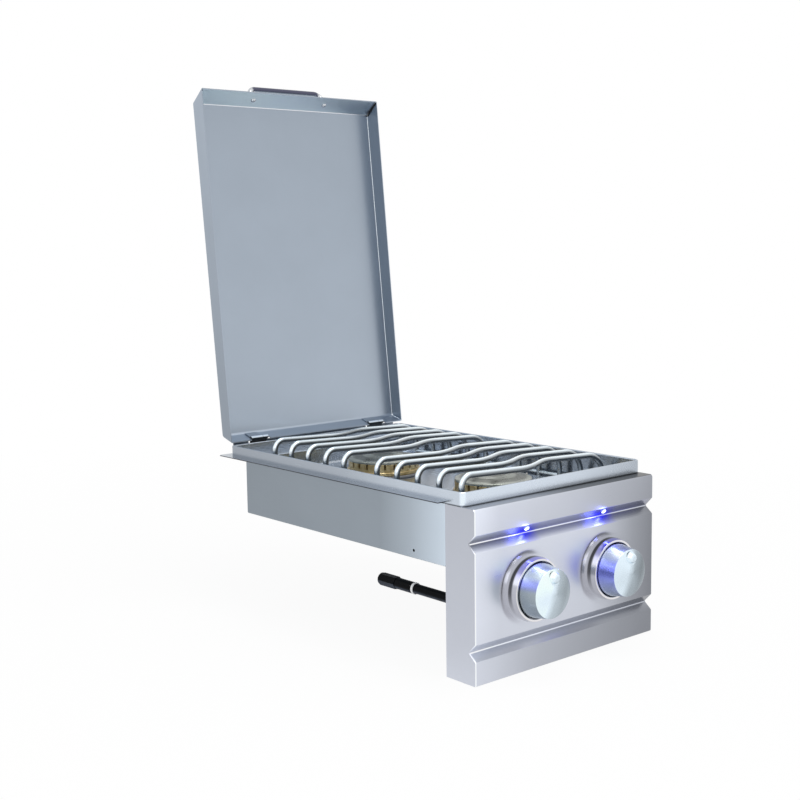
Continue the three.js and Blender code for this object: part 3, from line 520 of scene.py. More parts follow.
def grained(name, tints, grain, rough, relief=None, toned=False, **values):
    """A finish whose colour and roughness follow one noise, with a relief of its own."""
    made = Finish(name).set(**values)
    scale, detail = grain
    clouds = made.noise(scale, detail=detail)
    mixed = made.blend(clouds, *tints)
    made.feed(made.toned(mixed) if toned else mixed, "Base Color")
    made.feed(made.between(clouds, *rough), "Roughness")
    if relief:
        scale, detail, height = relief
        made.relief(made.noise(scale, detail=detail), height)
    return made.material


def knob_metal():
    metal = Finish("knob_metal").set(Metallic=1.0, Anisotropic=0.6)
    tint = colour(214, 228, 238)
    tints = metal.blend(metal.noise(40), scaled(tint, 0.96), scaled(tint, 1.03))
    metal.feed(metal.toned(tints), "Base Color")
    metal.feed(metal.between(metal.noise(900), 0.22, 0.3), "Roughness")
    return metal.material


def blue_lens():
    lens = Finish("blue_lens").set(Emission_Strength=6.0, Roughness=0.15)
    clouds = lens.noise(300, detail=2)
    lens.feed(lens.blend(clouds, colour(120, 130, 255), colour(180, 190, 255)), "Base Color")
    lens.feed(lens.blend(clouds, colour(150, 160, 255), colour(190, 200, 255)), "Emission Color")
    return lens.material


CLOUD_SHADE = 0.03
ACROSS = (0.03, 1, 1)
ALONG = (1, 0.03, 1)
UPRIGHT = (1, 1, 0.03)
EVERY_WAY = (1, 1, 1)
CAST = colour(150, 152, 155)

# Tint, roughness, way of the lines, relief in millimetres and spread of the roughness
BRUSHED = {
    "panel_steel": (colour(196, 200, 210), 0.3, ACROSS),
    "pan_steel": (colour(178, 186, 196), 0.26, ALONG),
    "body_steel": (colour(168, 178, 188), 0.36, ALONG),
    "lid_steel": (colour(161, 171, 183), 0.34, UPRIGHT),
    "grate_steel": (colour(186, 194, 200), 0.24, EVERY_WAY, 0.006),
    "polished_steel": (colour(205, 208, 212), 0.14, EVERY_WAY, 0.002, 0.03),
    "bezel_chrome": (colour(212, 210, 212), 0.1, EVERY_WAY, 0.001, 0.02),
}

# The noise is given as scale and detail, and the relief as scale, detail and millimetres
GRAINED = {
    "cast_aluminium": {
        "tints": (scaled(CAST, 0.85), scaled(CAST, 1.1)), "grain": (700, 5), "rough": (0.5, 0.65),
        "relief": (700, 5, 0.06), "Metallic": 0.9,
    },
    "burner_brass": {
        "tints": (colour(172, 148, 98), colour(226, 208, 162)), "grain": (120, 4), "rough": (0.36, 0.24),
        "relief": (900, 4, 0.01), "Metallic": 0.75,
    },
    "cap_steel": {
        "tints": (colour(152, 156, 148), colour(184, 188, 180)), "grain": (60, 4), "rough": (0.24, 0.34),
        "relief": (500, 4, 0.008), "toned": True, "Metallic": 0.85,
    },
    "black_pipe": {
        "tints": (colour(10, 13, 18), colour(24, 28, 36)), "grain": (150, 4), "rough": (0.3, 0.42),
        "relief": (1100, 3, 0.02), "toned": True, "Specular_IOR_Level": 0.05,
    },
    "black_plastic": {
        "tints": (colour(22, 22, 24), colour(36, 36, 38)), "grain": (1600, 2), "rough": (0.5, 0.62),
        "relief": (1600, 2, 0.02),
    },
    "white_plastic": {
        "tints": (colour(226, 228, 230), colour(240, 241, 242)), "grain": (900, 3), "rough": (0.4, 0.5),
    },
    "white_ceramic": {
        "tints": (colour(226, 222, 210), colour(240, 238, 230)), "grain": (500, 3), "rough": (0.25, 0.35),
        "Coat_Weight": 0.5, "Coat_Roughness": 0.1,
    },
}


@cache
def finish(slot):
    """The material of one of the record's slots, the same each time it is asked for."""
    if slot in BRUSHED:
        return brushed(slot, *BRUSHED[slot])
    if slot in GRAINED:
        return grained(slot, **GRAINED[slot])
    return {"knob_metal": knob_metal, "blue_lens": blue_lens}[slot]()


# Camera

VIEW_PLACE = Vector((-1.2495, -1.6899, 0.33075))
VIEW_BACK = Vector((-0.6416, -0.7569, 0.1233)).normalized()
VIEW_UP = Vector((0.0903, 0.0851, 0.9923))
FOCAL_LENGTH = 57.24


def photo_camera():
    """A camera that stands where the photograph was taken."""
    right = VIEW_UP.cross(VIEW_BACK).normalized()
    up = VIEW_BACK.cross(right)
    turn = Matrix((right, up, VIEW_BACK)).transposed().to_4x4()
    data = bpy.data.cameras.new("camera")
    data.lens = FOCAL_LENGTH
    camera = add_object("camera", data)
    camera.matrix_world = Matrix.Translation(VIEW_PLACE) @ turn
    bpy.context.scene.camera = camera


# Floor, world and lamps

FLOOR_SIZE = 400.0
FLOOR_DROP = 0.5 * MM
FLOOR_SHADE = 0.1
SHADE_REACH = 1.6
WORLD_LEVEL = 0.75
FLOOR_PAINT = (0.95, 0.95, 0.95, 1)


def seen_directly(tree):
    """1 for rays from the camera and for reflected or refracted rays."""
    path = add_node(tree, "LightPath")
    total = path.outputs["Is Camera Ray"]
    for name in ("Is Glossy Ray", "Is Transmission Ray"):
        total = add_node(tree, "Math", total, path.outputs[name], operation="MAXIMUM").outputs[0]
    return total


def white_world():
    world = bpy.data.worlds.new("world")
    bpy.context.scene.world = world
    world.use_nodes = True
    tree = world.node_tree
    lighting = tree.nodes["Background"]
    lighting.inputs["Color"].default_value = WHITE
    lighting.inputs["Strength"].default_value = WORLD_LEVEL
    shown = add_node(tree, "Background", WHITE, 1)
    mix = add_node(tree, "MixShader", seen_directly(tree), lighting.outputs[0], shown.outputs[0])
    tree.links.new(mix.outputs[0], tree.nodes["World Output"].inputs["Surface"])


def pale_floor():
    """A plain white floor that keeps a soft shadow."""
    paint = Finish("floor").set(Base_Color=FLOOR_PAINT, Roughness=1, Specular_IOR_Level=0)
    tree = paint.tree
    white = add_node(tree, "Emission", WHITE, 1)
    far = add_node(tree, "VectorMath", paint.where, operation="LENGTH").outputs["Value"]
    faded = add_node(tree, "MapRange", far, 0, SHADE_REACH, 1 - FLOOR_SHADE, 1).outputs[0]
    share = add_node(tree, "Math", seen_directly(tree), faded, operation="MULTIPLY").outputs[0]
    mix = add_node(tree, "MixShader", share, paint.shader.outputs[0], white.outputs[0])
    tree.links.new(mix.outputs[0], tree.nodes["Material Output"].inputs["Surface"])
    half = FLOOR_SIZE / 2
    corners = [(-half, -half), (half, -half), (half, half), (-half, half)]
    mesh = bpy.data.meshes.new("floor")
    mesh.from_pydata([(x, y, cad_low.z - FLOOR_DROP) for x, y in corners], [], [(0, 1, 2, 3)])
    mesh.materials.append(paint.material)
    floor = add_object("floor", mesh)


def lamp(name, place, size, power, target=(0, -0.3, 0.1)):
    """A square soft lamp that faces a target."""
    data = bpy.data.lights.new(name, "AREA")
    data.shape = "SQUARE"
    data.size = size
    data.energy = power
    light = add_object(name, data)
    light.location = place
    light.rotation_mode = "QUATERNION"
    light.rotation_quaternion = (Vector(target) - Vector(place)).to_track_quat("-Z", "Y")


def studio():
    bpy.context.scene.view_settings.view_transform = "Standard"
    white_world()
    pale_floor()
    lamp("key", (-2.1, -1.7, 1.3), 1.6, 8)
    lamp("top", (0.1, -0.5, 2.2), 1.0, 14)


photo_camera()
studio()


# Control panel

PANEL_RETURN = 25
GROOVE_DEPTH = 12
GROOVE_UPPER_REACH = 12.5
GROOVE_LOWER_REACH = 10
UPPER_GROOVE = PANEL_HIGH.z - 46
LOWER_GROOVE = PANEL_LOW.z + 42
LIP = 2.2
APEX = 2
BULLNOSE = 4
DISH_RADIUS = 55
DISH_DEPTH = 2.2
DISH_SLOPE = 12
PATCH_HALF = 55.4
PATCH_STEPS = 24
STEM_HOLE = 6
DISH_FLOOR = 30
TOP_REACH = 24
LENS_RADIUS = 3.4
LENS_DOME = 1.8
LENS_LENGTH = 8
GLOW_POWER = 0.02
GLOW_RADIUS = 6
GLOW_STAND = 6
GLOW_DROP = 3
LAMP_BLUE = (0.2, 0.24, 1)

# Painted light and shade on the panel, from left to right in each band, and from bottom to top
UPPER_BAND = ((-HALF, 0.38), (-130, 0.1), (-60, 0.02), (40, -0.14), (140, -0.36), (HALF, -0.44))
MIDDLE_BAND = ((-HALF, 0.42), (-130, 0.24), (-60, 0.22), (40, 0.16), (140, -0.44), (HALF, -0.57))
LOWER_BAND = ((-HALF, 0.34), (-60, -0.1), (40, -0.28), (140, -0.46), (HALF, -0.5))
PANEL_RISE = ((PANEL_LOW.z, -0.12), (LOWER_GROOVE, -0.1), (UPPER_GROOVE, 0), (PANEL_HIGH.z, 0.1))


def panel_profile():
    """The panel's outer face as depth and height places, from the bottom return's end to the top's back."""
    knob_height = middle("left_knob_bezel").z
    band = [(0, knob_height + z) for z in steps(-PATCH_HALF, PATCH_HALF, PATCH_STEPS)]
    corners = [
        (PANEL_RETURN, PANEL_LOW.z),
        (0, PANEL_LOW.z),
        (0, LOWER_GROOVE - GROOVE_LOWER_REACH),
        (GROOVE_DEPTH, LOWER_GROOVE),
        (0, LOWER_GROOVE + GROOVE_UPPER_REACH),
        *band,
        (0, UPPER_GROOVE - GROOVE_LOWER_REACH),
        (GROOVE_DEPTH, UPPER_GROOVE),
        (0, UPPER_GROOVE + GROOVE_UPPER_REACH),
        (0, PANEL_HIGH.z),
        (TOP_REACH, PANEL_HIGH.z),
    ]
    radii = [LIP, LIP, APEX, LIP, *[0] * len(band), LIP, APEX, LIP, BULLNOSE]
    return rounded(corners, radii)


def dish_depth(radius):
    """How deep the pressed dish is at a distance from its middle."""
    share = min(max((DISH_RADIUS - radius) / DISH_SLOPE, 0), 1)
    return DISH_DEPTH * share * share * (3 - 2 * share)


def square_ring(half, count):
    """Places round a square, as X and Z offsets, with the same number along each side."""
    along = steps(-half, half, count)[:-1]
    bottom = [(a, -half) for a in along]
    right = [(half, a) for a in along]
    top = [(-a, half) for a in along]
    left = [(-half, -a) for a in along]
    return bottom + right + top + left


def dish_patch(x, z, depth):
    """A square of the panel's middle band with a round dish pressed into it."""
    square = square_ring(PATCH_HALF, PATCH_STEPS)
    ways = [Vector(place).normalized() for place in square]
    radii = [DISH_RADIUS + 0.2, *steps(DISH_RADIUS, DISH_RADIUS - DISH_SLOPE, 8), DISH_FLOOR, STEM_HOLE]
    rows = [[Vector((x + a, FRONT + depth, z + b)) for a, b in square]]
    for radius in radii:
        level = FRONT + depth + dish_depth(radius)
        rows.append([Vector((x + way.x * radius, level, z + way.y * radius)) for way in ways])
    return Form().grid(rows, around=True)


def panel_painted_light(place, way):
    """Painted light and shade: the panel is lightest at its left end, with a painted highlight on its left
    folds; its top is dark under the rim, and its grooves are dark with a painted highlight at their bottom.
    """
    if abs(way.x) > 0.93:
        return grade(place.z, (PANEL_LOW.z, 0.1), (PANEL_HIGH.z, -0.06))
    if way.z > 0.9:
        return grade(place.x, (-HALF, -0.3), (-60, -0.45), (20, -0.9), (HALF, -0.95))
    if abs(way.x) > 0.3 and place.y - FRONT < 2:
        return 0.75 if way.x < 0 else -0.35
    band = UPPER_BAND
    if LOWER_GROOVE + 5 < place.z < UPPER_GROOVE - 5:
        band = MIDDLE_BAND
    elif place.z < LOWER_GROOVE - 5:
        band = LOWER_BAND
    across = grade(place.x, *band)
    upward = grade(place.z, *PANEL_RISE)
    sunk = 0
    for height, above, below in ((UPPER_GROOVE, -0.2, -0.26), (LOWER_GROOVE, -0.14, 0.12)):
        if abs(place.z - height) < GROOVE_UPPER_REACH and place.y - FRONT > 0.8:
            sunk = above if way.z < 0 else below
            if height == UPPER_GROOVE:
                sunk += grade(place.x, (-HALF, -0.32), (-20, 0))
            if way.y < -0.93:
                sunk = 0.7
    return (1 + across) * (1 + upward) * (1 + sunk) - 1


def panel_glow(place, way):
    """Painted blue light of the lamps in the upper groove, strongest beside each lamp."""
    if abs(place.z - UPPER_GROOVE) > GROOVE_UPPER_REACH + 1 or abs(way.x) > 0.7 or abs(way.z) < 0.2:
        return 0
    depth = (place.y - FRONT) / GROOVE_DEPTH
    near = min(abs(place.x - middle(side + "_lamp_lens").x) for side in SIDES)
    wide = grade(near, (0, 0.5), (45, 0.3), (100, 0)) if way.z < 0 else 0
    return min(max(depth, 0.35) * (grade(near, (0, 0.85), (9, 0.7), (24, 0)) + wide), 0.9)


def control_panel():
    """The folded panel with its cheeks, grooves and dishes."""
    profile = panel_profile()
    ways = inward_ways(profile)
    low, high = PANEL_LOW.z + LIP, PANEL_HIGH.z - BULLNOSE
    weights = [1 if low <= place.y <= high else max(way.x, 0) for place, way in zip(profile, ways)]
    knobs = [middle(side + "_knob_bezel") for side in SIDES]
    flats = [knob.x + a for knob in knobs for a in steps(-PATCH_HALF, PATCH_HALF, PATCH_STEPS)]

    def outside_dishes(i, k):
        first, second = profile[i], profile[i + 1]
        if k in (0, len(flats) + 2 * ARC_STEPS + 2):
            return abs(first.y - second.y) > MERGE / MM
        flat = first.x == 0 and second.x == 0
        z = (first.y + second.y) / 2
        column = k - ARC_STEPS - 1
        if not flat or abs(z - knobs[0].z) > PATCH_HALF or not 1 <= column < len(flats):
            return True
        x = (flats[column - 1] + flats[column]) / 2
        return all(abs(x - knob.x) > PATCH_HALF for knob in knobs)

    skins = folded_skins(
        profile, ways, weights, HALF, flats,
        foot=lambda spot: Vector((PANEL_HIGH.y - FRONT, spot.y)),
        put=lambda x, spot: Vector((x, FRONT + spot.x, spot.y)),
        keep=outside_dishes,
    )
    for skin, depth in zip(skins, (0, SHEET)):
        for knob in knobs:
            skin.join(dish_patch(knob.x, knob.z, depth))
    panel = make("panel_skin", shell(*skins), "panel_steel", "control_panel")
    return glow(paint_light(panel, panel_painted_light), panel_glow)


def facet_form(form, x):
    """Lays a form made along Z onto the upper groove's upper facet, with its top looking out."""
    out = Vector((0, -GROOVE_UPPER_REACH, -GROOVE_DEPTH)).normalized()
    place = (x, FRONT + GROOVE_DEPTH / 2, UPPER_GROOVE + GROOVE_UPPER_REACH / 2)
    return form.move(Matrix.Translation(place) @ facing(out))


control_panel()


# Bezels, knobs and lamps

# Painted reflections round a bezel by angle in degrees, and painted light and shade up a knob's cone by
# height
BEZEL_ROUND = (
    (0, -0.3), (30, -0.6), (60, -0.9), (150, -0.86), (178, -0.78),
    (205, -0.2), (240, 0.2), (330, 0), (360, -0.3),
)
CONE_RISE = {
    "left": ((-36, -0.05), (-24, -0.35), (-12, -0.5), (10, -0.43), (17, -0.15), (23, 0.3), (34, 0.3)),
    "right": ((-36, 0), (-24, -0.1), (-12, -0.18), (10, -0.12), (17, 0), (23, 0.35), (34, 0.35)),
}
# Painted blue lamp light up a knob's cone by height
CONE_GLOW = {
    "left": ((6, 0), (12, 0.4), (18, 0.5), (23, 0.1), (31, 0.06), (36, 0.6)),
    "right": ((-30, 0.1), (-14, 0.35), (0, 0.6), (16, 0.55), (25, 0.2), (30, 0.1), (36, 0.6)),
}
# Painted shade on each knob's face
FACE_SHADE = {"left": 0, "right": -0.15}


def bezel(side):
    low, high = span(side + "_knob_bezel")
    place = (low + high) / 2
    base = high.y - FRONT
    inner, outer, height, shoulder = 38.3, 43, 16, 7
    corners = [
        (inner, -base), (outer, -base), (outer, 1), (outer, 3), (outer, shoulder),
        (outer - 0.6, shoulder + 2), (outer - 1.6, height), (inner, height), (inner, -base),
    ]
    profile = rounded(corners, [0, 0, 0, 0, 0, 1.2, 0.9])
    form = on_panel(lathe(profile, FINE, closed=True), place.x, place.z)
    ring = make(side + "_bezel_ring", form, "bezel_chrome", side + "_knob_bezel")

    # Painted reflections on the bezel's side, by angle round it, and its front a little lighter.
    def bands(spot, way):
        angle = degrees(atan2(spot.z - place.z, spot.x - place.x)) % 360
        rise = FRONT - spot.y
        if rise > shoulder + 1 or way.y < -0.7 or rise < 2:
            return 0.2 if way.y < -0.7 else 0.05
        return grade(angle, *BEZEL_ROUND)

    # Painted blue lamp light on the bezel's upper lip, stronger towards its top.
    def lit(spot, way):
        upper = way.y > -0.7 and FRONT - spot.y > shoulder + 1
        return grade(spot.z - place.z, (18, 0), (34, 0.5)) if upper else 0

    return glow(paint_light(ring, bands), lit)


def knob(side):
    """A hollow cone with a domed face and a nub near its rim."""
    place = middle(side + "_knob_bezel")
    base, rim, back, front, wall, dome = 37.5, 32.5, 10, 41, 4, 5
    face = [(r, front + dome * (1 - (r / (rim - 1.2)) ** 2)) for r in steps(rim - 1.2, 0, 14)]
    edge = rounded([(base, back), (rim, front - 0.6), (rim - 1.6, front + 0.2)], [1.0], 4)
    profile = [(9, back + 2), (9, front - 4), (rim - wall, front - 4), (base - wall, back)]
    profile = [(0, back + 2), *profile, *edge, *face[1:]]
    form = on_panel(lathe(profile, FINE), place.x, place.z)
    offset, radius, tip, height = 21.5, 8, 5, 5.5
    level = front + dome * (1 - (offset / (rim - 1.2)) ** 2)
    corners = [(radius + 1.5, level - 1), (radius, level - 0.2), (tip, level + height), (0, level + height)]
    nub = rounded(corners, [1, 4], 7)
    form.join(on_panel(lathe(nub, ROUND), place.x, place.z + offset))
    cap = make(side + "_knob_cap", form, "knob_metal", side + "_knob", body=side + "_knob_set")

    # Painted light and shade: the cone by height, the nub by the way it faces, and a painted fan highlight
    # across the face, darker to the right.
    def turned(spot, way):
        x, z = spot.x - place.x, spot.z - place.z
        if hypot(x, z) > rim - 1 and way.y > -0.75:
            return grade(z, *CONE_RISE[side])
        if hypot(x, z - offset) < radius + 1.6 and FRONT - spot.y > level + 0.5:
            return grade(way.z - way.x, (-0.9, -0.4), (0, 0), (0.6, 0.2))
        fan = 0.06 * cos(2 * atan2(z, x) + 2.6) + FACE_SHADE[side]
        return fan + grade(
            0.95 * x - 0.3 * z, (-rim, 0.3), (-9, 0.26), (3, -0.3), (0.6 * rim, -0.48), (rim, -0.36)
        )

    # Painted blue lamp light on the knob's cone, strongest to the left.
    def lit(spot, way):
        x, z = spot.x - place.x, spot.z - place.z
        if way.y < -0.75 or hypot(x, z) < rim - 1:
            return 0
        return grade(x, (-15, 1), (25, 0.3)) * grade(z, *CONE_GLOW[side])

    return glow(paint_light(cap, turned), lit)


def lamp_lens(side):
    place = middle(side + "_lamp_lens")
    profile = [(LENS_RADIUS * cos(a), LENS_DOME * sin(a)) for a in steps(0, QUARTER, 6)]
    form = facet_form(lathe([(0, -LENS_LENGTH), (LENS_RADIUS, -LENS_LENGTH), *profile], SMALL), place.x)
    make(side + "_lamp", form, "blue_lens", side + "_lamp_lens")
    data = bpy.data.lights.new(side + "_glow", "POINT")
    data.color = LAMP_BLUE
    data.energy = GLOW_POWER
    data.shadow_soft_size = GLOW_RADIUS * MM
    light = add_object(side + "_glow", data)
    light.location = Vector((place.x, FRONT - GLOW_STAND, place.z - GLOW_DROP)) * MM


for side in SIDES:
    bezel(side)
    knob(side)
    lamp_lens(side)


# Top pan

RIM_HEIGHT = PAN_HIGH.z
RIM_THICKNESS = 3.5
RIM_BOTTOM = -1.7
RIM_CORNER = 10
WELL_FLOOR = -27
WELL_BEND = 5
LEDGE = 43.5
FLANGE_WIDTH = PAN_HIGH.x - HALF
FLANGE_FRONT = FRONT + 55
FLANGE_CUT = 3
CUP_HOLE = 35
IGNITER_HOLE = 4
IGNITER_OFFSET = 68
CUT_REACH = 5
PAN_FRONT = FRONT + 22
PAN_BACK = PAN_HIGH.y - FLANGE_WIDTH
BURNER_PLACES = {name: middle(name + "_burner_cap") for name in BURNERS}


def pan_profile():
    """The pan's section as inset from the rim's outer face, height, and reach forward from the rim's back."""
    inner = RIM_THICKNESS
    skin = RIM_THICKNESS - SHEET
    hem = inner / 2
    profile = [(0, RIM_BOTTOM, 0), (0, RIM_BOTTOM + 2, 0)]
    for angle in steps(FULL_TURN / 2, 0, 10):
        profile.append((hem + hem * cos(angle), RIM_HEIGHT - hem + hem * sin(angle), 0))
    profile.append((inner, SHEET, 0))
    for angle in steps(QUARTER, 0, 4):
        edge = LEDGE + 1.5 * (cos(angle) - 1)
        profile.append((inner, SHEET + 1.5 * (sin(angle) - 1), edge))
    for angle in steps(0, QUARTER, 6):
        inset = inner + WELL_BEND * (1 - cos(angle))
        profile.append((inset, WELL_FLOOR + WELL_BEND * (1 - sin(angle)), LEDGE))
    under = []
    for angle in steps(QUARTER, 0, 6):
        reach = WELL_BEND + SHEET
        inset = skin + reach * (1 - cos(angle))
        under.append((inset, WELL_FLOOR - SHEET + reach * (1 - sin(angle)), LEDGE))
    under += [(skin, 0, LEDGE), (skin, 0, 0), (skin, RIM_BOTTOM, 0)]
    return profile, under


def pan_loop(inset, height, forward):
    radius = max(RIM_CORNER - inset, 0.01)
    far = PAN_BACK - inset - forward
    return rectangle_loop(HALF - inset, PAN_FRONT + inset, far, radius, height, (-60, 40), (-430, -300))


def pan_painted_light(place, way):
    """Painted light and shade: the rim is lightest at its front left corner, with a painted shadow under its
    lower edge, and the well is lighter.
    """
    inside = abs(place.x) < HALF - 3 and PAN_FRONT + 3 < place.y < PAN_BACK - 3
    if inside and place.z < RIM_HEIGHT - 1:
        return 0.05 if way.z > 0.7 else 0.3
    if place.z < RIM_BOTTOM + 1:
        return -0.9
    if way.x < -0.3 and way.y < -0.3:
        return 0.9
    if way.y < -0.7:
        return grade(place.x, (-HALF, 0.55), (-60, 0.5), (40, 0.4), (HALF, -0.08))
    if way.x < -0.7:
        return grade(place.y, (PAN_FRONT, 0.36), (-430, 0.22), (-300, -0.1), (PAN_BACK, -0.26))
    return 0


def top_pan():
    """The raised rim with its hemmed edge, the well with its burner holes, and the flange on the counter."""
    profile, under = pan_profile()
    inside = [pan_loop(*place) for place in profile]
    outside = [pan_loop(*place) for place in under]
    form = Form().grid(inside + outside, around=True, keep=lambda i, k: i != len(inside) - 1)
    form.grid([outside[-1], inside[0]], around=True)
    form.sheet(inside[-1]).sheet(outside[0])
    pan = make("pan_well", form, "pan_steel", "top_pan")
    holes = []
    for place in BURNER_PLACES.values():
        for radius, x, count in (CUP_HOLE, 0, FINE), (IGNITER_HOLE, IGNITER_OFFSET, SMALL):
            hole = drill(radius, WELL_FLOOR - CUT_REACH, WELL_FLOOR + CUT_REACH, count)
            holes.append(hole.shift(x, place.y))
    paint_light(bore(pan, *holes), pan_painted_light)
    outer = HALF + FLANGE_WIDTH
    back = PAN_HIGH.y
    front = FLANGE_FRONT
    corner = [(place.x, place.y) for place in pan_loop(0, 0, 0) if place.y > PAN_BACK - RIM_CORNER - 1]
    outline = [
        (-outer, front), (-HALF, front), *sorted(corner), (HALF, front), (outer, front),
        (outer, back - FLANGE_CUT), (outer - FLANGE_CUT, back),
        (FLANGE_CUT - outer, back), (-outer, back - FLANGE_CUT),
    ]
    rows = [[Vector((x, y, z)) for x, y in outline] for z in (0, SHEET)]
    flange = Form().grid(rows, around=True).sheet(rows[0]).sheet(rows[1])
    piece = make("pan_flange", flange, "pan_steel", "top_pan")
    # Painted shade: the flange's top is a little darker, and its edges and underside are dark.
    paint_light(piece, lambda place, way: -0.1 if way.z > 0.7 else -0.9)


top_pan()


# Burner box

BOX_FOLD = 2.5
BOX_FRONT_TOP = -28.5
BOX_COLUMNS = (BOX_LOW.y + 70, BOX_LOW.y + 130)
SCREW_HOLE = 2
SCREW_HOLE_BACK = 61.7
SCREW_HOLE_RISE = 11
TUBE_HOLE = 6
TUBE_HEIGHT = -50
DRILL_REACH = 3


# Painted light: the box's left side is lightest at its front and darkest at its back, and its other faces are
# a little darker.
def box_painted_light(place, way):
    if way.x > -0.7:
        return -0.1
    first, second = BOX_COLUMNS
    return grade(place.y, (BOX_LOW.y, 0.66), (first, 0.09), (second, -0.22), (BOX_HIGH.y, -0.33))


def burner_box():
    """The open box under the pan, folded from one sheet, with its screw and tube holes."""
    skins = []
    for depth in (0, SHEET):
        radius = BOX_FOLD - depth
        half, near, far = HALF - depth, BOX_LOW.y + depth, BOX_HIGH.y - depth
        bottom = BOX_LOW.z + depth
        levels = []
        for angle in steps(QUARTER, 0, ARC_STEPS):
            inset = radius * (1 - cos(angle))
            levels.append((inset, radius - inset + 0.02, bottom + radius * (1 - sin(angle))))
        levels += [(0, radius, BOX_FRONT_TOP), (0, radius, BOX_HIGH.z)]
        loops = [
            rectangle_loop(half - inset, near + inset, far - inset, corner, height, along=BOX_COLUMNS)
            for inset, corner, height in levels
        ]
        opening = (len(loops) - 2, 3 * ARC_STEPS + 2 + len(BOX_COLUMNS))
        skin = Form().grid(loops, around=True, keep=lambda i, k, opening=opening: (i, k) != opening)
        skins.append(skin.sheet(loops[0]))
    box = make("box_shell", shell(*skins), "body_steel", "burner_box")
    holes = []
    for sign in SIDES.values():
        hole = along_x(drill(SCREW_HOLE, -DRILL_REACH, DRILL_REACH))
        holes.append(hole.shift(sign * HALF, BOX_LOW.y + SCREW_HOLE_BACK, BOX_LOW.z + SCREW_HOLE_RISE))
        hole = along_y(drill(TUBE_HOLE, -DRILL_REACH, DRILL_REACH))
        holes.append(hole.shift(middle("left_knob_bezel").x * -sign, BOX_LOW.y, TUBE_HEIGHT))
    paint_light(bore(box, *holes), box_painted_light)


burner_box()


# Lid

OPEN_ANGLE = radians(95.7)
HINGE = Vector((0, middle("left_hinge_pin").y, middle("left_hinge_pin").z))
HINGE_INSET = 3.5
HINGE_RISE = 4.4
LID_HALF = HALF + 0.75
LID_LENGTH = 554.0
REAR_SLANT = Vector((10, 25))
FRONT_SLANT = Vector((18, 29))
REAR_BEND = 6
FRONT_BEND = 3
SLOT_HALF = 18
SLOT_LENGTH = 10.5
SEAM_RADIUS = 0.9


def on_lid(form):
    """Moves a form made with X across, Y as length and Z as height to the open lid."""
    for place in form.places:
        place.y, place.z = HINGE_INSET - place.y, place.z - HINGE_RISE
    return form.move(Matrix.Translation(HINGE) @ Matrix.Rotation(-OPEN_ANGLE, 4, "X"))


def lid_painted_light(place, way):
    """Painted light and shade: the lid's front wall and its creases are lighter than its face, and its right
    wall is darker.
    """
    high = place.z > LID_LENGTH / 2
    if way.z < -0.15 and high:
        return 1.9 if way.z > -0.77 else grade(place.x, (-LID_HALF, 1.4), (LID_HALF, 1.2))
    if way.x < -0.3 and place.x > 0:
        return 1.7 if way.x > -0.9 else -0.26
    if way.x < -0.7:
        return grade(place.z, (0, -0.22), (LID_LENGTH, 0.12))
    return grade(place.z, (0, 0.16), (0.6 * LID_LENGTH, 0.14), (LID_LENGTH, 0.02))


def lid_shell():
    """The folded lid, with two slots for its hinges."""
    slot = REAR_SLANT.normalized() * SLOT_LENGTH
    corners = [(0, 0), REAR_SLANT, (LID_LENGTH - FRONT_SLANT.x, FRONT_SLANT.y), (LID_LENGTH, 0)]
    profile = rounded(corners, [REAR_BEND, FRONT_BEND], 8)
    profile.insert(1, slot)
    ways = inward_ways(profile)
    ways[0] = Vector((1 / ways[0].x, 0))
    ways[-1] = Vector((1 / ways[-1].x, 0))
    hinges = [middle(side + "_hinge_pin").x for side in SIDES]
    slots = [(x - SLOT_HALF, x + SLOT_HALF) for x in hinges]
    flats = [x for pair in slots for x in pair]

    def outside_slots(i, k):
        column = k - ARC_STEPS - 2
        return not (i == 0 and column in (0, 2))

    skins = folded_skins(
        profile, ways, [1] * len(profile), LID_HALF, flats,
        foot=lambda spot: Vector((spot.x, min(spot.y, 0))),
        put=lambda x, spot: Vector((x, spot.x, spot.y)),
        keep=outside_slots,
    )
    lid = make("lid_skin", on_lid(shell(*skins)), "lid_steel", "lid_shell", body="lid")
    paint_light(lid, lid_painted_light)
    # The black bars in the front wall's inner corners stand in for the shade there: painted shade.
    seam = Vector((LID_LENGTH - FRONT_SLANT.x, FRONT_SLANT.y)), Vector((LID_LENGTH, 0))
    for side, sign in SIDES.items():
        x = sign * (LID_HALF - SHEET - SEAM_RADIUS - 0.1)
        inset = SHEET + SEAM_RADIUS + 0.6
        foot, tip = seam
        path = [Vector((x, foot.x - inset, foot.y - inset)), Vector((x, tip.x - inset, tip.y + 1))]
        make(side + "_lid_corner_shade", on_lid(bar(path, SEAM_RADIUS, SMALL)), "black_plastic", body="lid")


def front_wall_place(x, outward):
    """A place out from the middle of the lid's front wall, in the closed lid's side view."""
    middle_spot = Vector((LID_LENGTH - FRONT_SLANT.x / 2, FRONT_SLANT.y / 2))
    out = Vector((FRONT_SLANT.y, FRONT_SLANT.x)).normalized()
    spot = middle_spot + out * outward
    return Vector((x, spot.x, spot.y))


HANDLE_SPAN = 142
HANDLE_STAND = 22
HANDLE_BEND = 12
HANDLE_RADIUS = 4.6
HEAD_RADIUS = 4.2
HEAD_EDGE = 0.5
HEAD_DOME = 1.9
SHANK_RADIUS = 2
SHANK_END = 9
DRIVE_RADIUS = 1.6
DRIVE_END = -3


